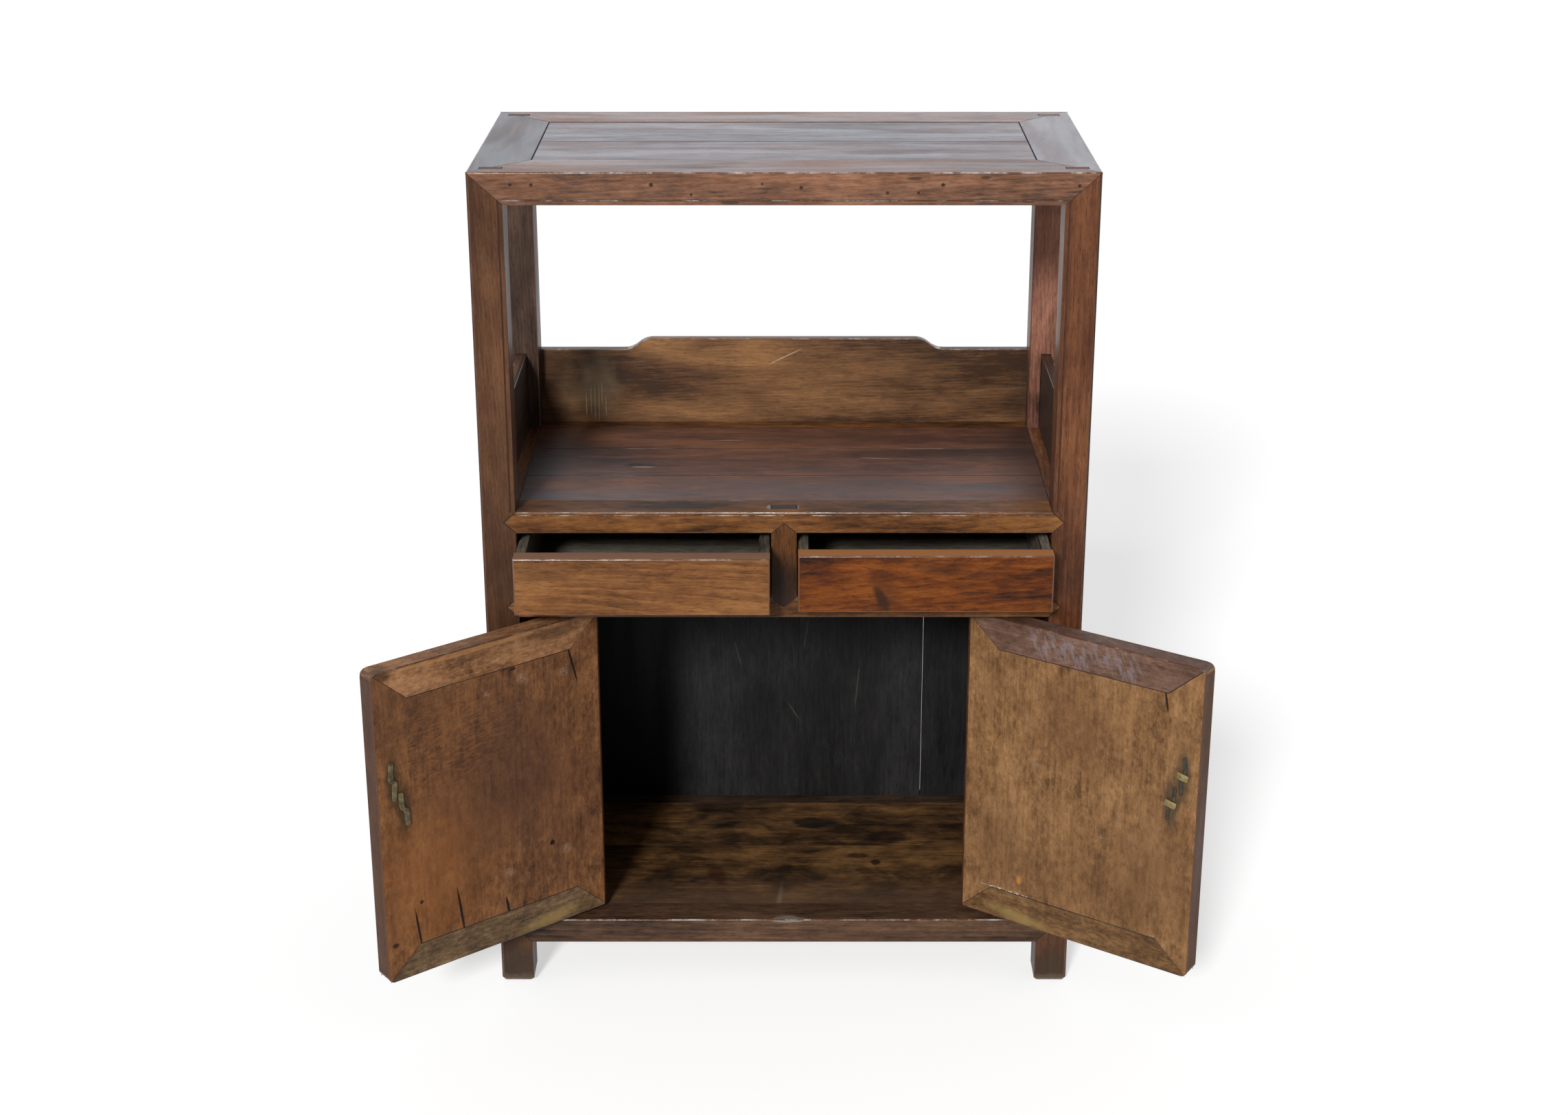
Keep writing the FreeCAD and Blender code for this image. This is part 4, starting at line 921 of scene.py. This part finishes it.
def dress(name, draw):
    # a copy of the solid with rubbed arrises and fine joint lines
    body = bodyOf[name]
    onePiece = name.startswith("door_") and name.endswith(("panel", "stile", "pivots"))
    mesh = bpy.data.meshes.new(name + "_worn")
    mesh.from_pydata(wornPoints(name), [], welded[name][1])
    bm = bmesh.new()
    bm.from_mesh(mesh)
    bmesh.ops.dissolve_limit(bm, angle_limit=dressing["flat"], verts=bm.verts, edges=bm.edges)
    bm.normal_update()
    bm.edges.layers.float.new("arris")
    bm.edges.layers.float.new("seam")
    bm.faces.layers.float.new("board")
    weighEdges(bm, name, onePiece)
    toneBoards(bm, onePiece, draw)
    rubSlants(bm, body)
    if name.startswith("door_") and name.endswith(("free_stile", "rail")):
        roundCorners(bm, name)
    bm.to_mesh(mesh)
    bm.free()
    piece = put(name + "_worn", mesh)
    for finish in finishOf[name]:
        mesh.materials.append(finish)
    arrisWidth = dressing["brassArris" if finishOf[name][0] == brass else "arris"]
    for title, width, index in (("seam", dressing["seam"], 2), ("arris", arrisWidth, 1)):
        bevel = piece.modifiers.new(title, "BEVEL")
        bevel.limit_method = "WEIGHT"
        bevel.edge_weight = title
        bevel.width = width
        bevel.segments = dressing["segments"]
        bevel.material = index
        bevel.use_clamp_overlap = False
    keepInside(piece, body)
    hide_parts(name)
    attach(piece, body)


draw = np.random.default_rng(dressing["tones"])
for name in sorted(finishOf):
    dress(name, draw)
print("dressed solids:", len(finishOf))

alongX, alongY, downZ = np.array([1.0, 0, 0]), np.array([0, 1.0, 0]), np.array([0, 0, -1.0])


def gridFaces(rows, columns, closedRows=False):
    # quads between the rows of a grid whose columns run round a closed section
    row = np.arange(rows if closedRows else rows - 1)[:, None]
    column = np.arange(columns)[None, :]
    nextRow, nextColumn = (row + 1) % rows, (column + 1) % columns
    return np.stack([row * columns + column, row * columns + nextColumn, nextRow * columns + nextColumn,
                     nextRow * columns + column], axis=-1).reshape(-1, 4)


def bluntEnds(s, power):
    # 1 along the strip, dropping to 0 at s = -1 and s = 1 as the root of 1 - |s| to a high power
    return np.sqrt(np.clip(1 - np.abs(s) ** power, 0, 1))


def ringSurface(at):
    # torus about x: centre + (R + r cos b) turned by a in y, z, and r sin b along x
    a = np.linspace(0, 2 * np.pi, clips["steps"], endpoint=False)[:, None]
    b = np.linspace(0, 2 * np.pi, clips["sides"], endpoint=False)[None, :]
    radius = clips["ringRadius"] + clips["wire"] * np.cos(b)
    points = np.stack([at[0] + clips["wire"] * np.sin(b) + 0 * a, -clips["ringOut"] + radius * np.cos(a),
                       at[1] + radius * np.sin(a)], axis=-1)
    return points.reshape(-1, 3), gridFaces(clips["steps"], clips["sides"], True)


def stripSurface(centre, side, normal, halfWidth, halfThick):
    # section carried along a line: centre(s) + w(s) C side + t(s) S normal,
    # with C and S the cosine and sine to a power below 1, which squares the section
    b = np.linspace(0, 2 * np.pi, clips["sides"], endpoint=False)[None, :, None]
    across = np.sign(np.cos(b)) * np.abs(np.cos(b)) ** clips["square"]
    lift = np.sign(np.sin(b)) * np.abs(np.sin(b)) ** clips["square"]
    points = (centre[:, None, :] + halfWidth[:, None, None] * across * side
              + halfThick[:, None, None] * lift * normal)
    return points.reshape(-1, 3), gridFaces(len(centre), clips["sides"])


def legSurface(at, way, length, sway, halfWidth):
    # leg from the hole along the face: sways as a sine, rises over its root as a bell, lies flat, ends blunt
    s = np.linspace(0, 1, clips["steps"])
    blunt = bluntEnds(2 * s - 1, clips["blunt"])
    x = at[0] - way * clips["offset"] * np.tanh(clips["parting"] * s) + sway * np.sin(clips["bend"] * s) * s
    y = (clips["halfThick"] + clips["rootLift"] * np.exp(-(s / clips["rootSpan"]) ** 2)
         + clips["tipLift"] * s ** 2)
    z = at[1] + way * (length * s - clips["rootBack"])
    centre = np.stack([x, y, z], axis=-1)
    grown = clips["neck"] + (1 - clips["neck"]) * np.tanh(clips["neckGrowth"] * s) - clips["taper"] * s
    return stripSurface(centre, alongX, alongY, halfWidth * grown * blunt, clips["halfThick"] * blunt)


def shankSurface(at):
    # straight round wire from the ring to the inner face, its ends drawn together
    s = np.linspace(0, 1, clips["shankSteps"])
    shut = bluntEnds(2 * s - 1, clips["shankBlunt"]) * clips["wire"]
    start = clips["ringRadius"] - clips["ringOut"]
    y = start + s * (clips["shankPast"] - start)
    centre = np.stack([np.full_like(s, at[0]), y, np.full_like(s, at[1])], axis=-1)
    return stripSurface(centre, alongX, downZ, shut, shut)


def plateSurface(at):
    # a small plate over the crossing: straight, leaning, its section flat and its ends blunt
    plate = clips["plate"]
    s = np.linspace(-1, 1, clips["steps"])
    blunt = bluntEnds(s, clips["blunt"])
    along = np.array([math.cos(plate["turn"]), 0, math.sin(plate["turn"])])
    across = np.array([-math.sin(plate["turn"]), 0, math.cos(plate["turn"])])
    bow = np.stack([0 * s, plate["lift"] - plate["bow"] * s ** 2, 0 * s], axis=-1)
    centre = np.array([at[0], 0, at[1]]) + plate["halfLength"] * s[:, None] * along + bow
    return stripSurface(centre, across, alongY, plate["halfWidth"] * blunt, clips["halfThick"] * blunt)


def clipPiece(side):
    surfaces, isPlate = [], []
    width = clips["halfWidth"][side]
    for eye in clips["eyes"]:
        made = [ringSurface(eye["at"]), shankSurface(eye["at"]),
                legSurface(eye["at"], 1, eye["up"], eye["sway"], width),
                legSurface(eye["at"], -1, eye["down"], -eye["sway"], width)]
        isPlate += [np.zeros(len(faces), np.int32) for _, faces in made]
        if side == "right":
            made.append(plateSurface(eye["at"]))
            isPlate.append(np.ones(len(made[-1][1]), np.int32))
        surfaces += made
    starts = np.cumsum([0] + [len(points) for points, _ in surfaces])
    points = np.concatenate([points for points, _ in surfaces])
    faces = np.concatenate([faces + start for (_, faces), start in zip(surfaces, starts)])
    if side == "left":
        points = points * (1, -1, 1)  # this door's space has its inner face towards -y
    toWorld = np.array(doorSpace(side).inverted())
    points = points @ toWorld[:3, :3].T + toWorld[:3, 3]
    mesh = bpy.data.meshes.new(f"door_{side}_clips")
    mesh.from_pydata(points, [], faces)
    mesh.polygons.foreach_set("material_index", np.concatenate(isPlate))
    bm = bmesh.new()
    bm.from_mesh(mesh)
    bmesh.ops.remove_doubles(bm, verts=bm.verts, dist=dressing["weld"])
    bmesh.ops.recalc_face_normals(bm, faces=bm.faces)
    bm.to_mesh(mesh)
    bm.free()
    mesh.shade_smooth()
    mesh.materials.append(brass if side == "left" else dullBrass)
    mesh.materials.append(paleBrass)
    piece = put(mesh.name, mesh)
    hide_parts(f"door_{side}_eyes")
    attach(piece, f"door_{side}")


for side in doorPlace:
    clipPiece(side)
print("clips made")

# Studio: white floor, one broad light from the front left, even light all round
studio = {
    "floorHalf": 40.0, "floorSeen": 0.70, "floorGlow": 0.53, "floorBounce": 0.6,
    "sunFrom": (-0.258, -0.90, 0.48), "sunLevel": 2.7, "sunSpread": 10.0,
    "around": 0.34, "behind": (1.00, 1.06, 1.15, 1), "before": (0.16, 0.16, 0.16, 1),
    "turnOver": (-0.25, 0.25),
}


def grey(level):
    return (level, level, level, 1)


def makeFloor():
    half = studio["floorHalf"]
    mesh = bpy.data.meshes.new("floor")
    corners = [(-half, -half, 0), (half, -half, 0), (half, half, 0), (-half, half, 0)]
    mesh.from_pydata(corners, [], [(0, 1, 2, 3)])
    fin = Finish("whiteFloor")
    path = fin.node("LightPath", {}).node.outputs
    seen = fin.math("MAXIMUM", path["Is Camera Ray"], path["Is Glossy Ray"])
    seen = fin.math("MAXIMUM", seen, path["Is Transmission Ray"])
    bounce = fin.node("BsdfDiffuse", {"Color": grey(studio["floorBounce"])})
    paint = fin.node("BsdfDiffuse", {"Color": grey(studio["floorSeen"])})
    glow = fin.node("Emission", {"Color": grey(1), "Strength": studio["floorGlow"]})
    shown = fin.node("AddShader", {0: paint, 1: glow})
    mixed = fin.node("MixShader", {0: seen, 1: bounce, 2: shown})
    fin.tree.nodes.remove(fin.shader)
    fin.feed(fin.tree.nodes["Material Output"].inputs["Surface"], mixed)
    mesh.materials.append(fin.material)
    floor = put("floor", mesh)


def makeWorld():
    # white to the camera; in reflections white behind the cabinet, dim in front; an even level otherwise
    world = bpy.data.worlds.new("studio")
    scene.world = world
    world.use_nodes = True
    sky = NodeTree(world.node_tree)
    sky.tree.nodes.clear()
    path = sky.node("LightPath", {}).node.outputs
    way = sky.node("SeparateXYZ", {0: sky.node("TexCoord", {}, "Generated")}, 1)
    glossy = sky.blend(sky.span(way, *studio["turnOver"]), studio["before"], studio["behind"])
    colour = sky.blend(path["Is Glossy Ray"], grey(studio["around"]), glossy)
    seen = sky.math("MAXIMUM", path["Is Camera Ray"], path["Is Transmission Ray"])
    colour = sky.blend(seen, colour, grey(1))
    back = sky.node("Background", {"Color": colour, "Strength": 1.0})
    sky.feed(sky.tree.nodes.new("ShaderNodeOutputWorld").inputs[0], back)


def makeLights():
    lamp = bpy.data.lights.new("key", "SUN")
    lamp.energy = studio["sunLevel"]
    lamp.angle = math.radians(studio["sunSpread"])
    key = put("key", lamp)
    key.rotation_euler = Vector(studio["sunFrom"]).to_track_quat("Z", "Y").to_euler()


makeFloor()
makeWorld()
makeLights()
print("studio lit")

# The camera of the photograph: pixels of a 2284 x 1624 image, metres, degrees; the sensor in mm
camera = {"width": 2284, "focal": 3459.4, "place": (0.0, -2.7416, 1.5799), "down": 19.96, "lift": -0.0420,
          "sensor": 36.0}
lens = bpy.data.cameras.new("camera")
lens.sensor_width = camera["sensor"]
lens.lens = camera["focal"] / camera["width"] * lens.sensor_width
lens.shift_y = camera["lift"]
eye = put("camera", lens)
eye.location = camera["place"]
eye.rotation_euler = (math.radians(90 - camera["down"]), 0, 0)
scene.camera = eye
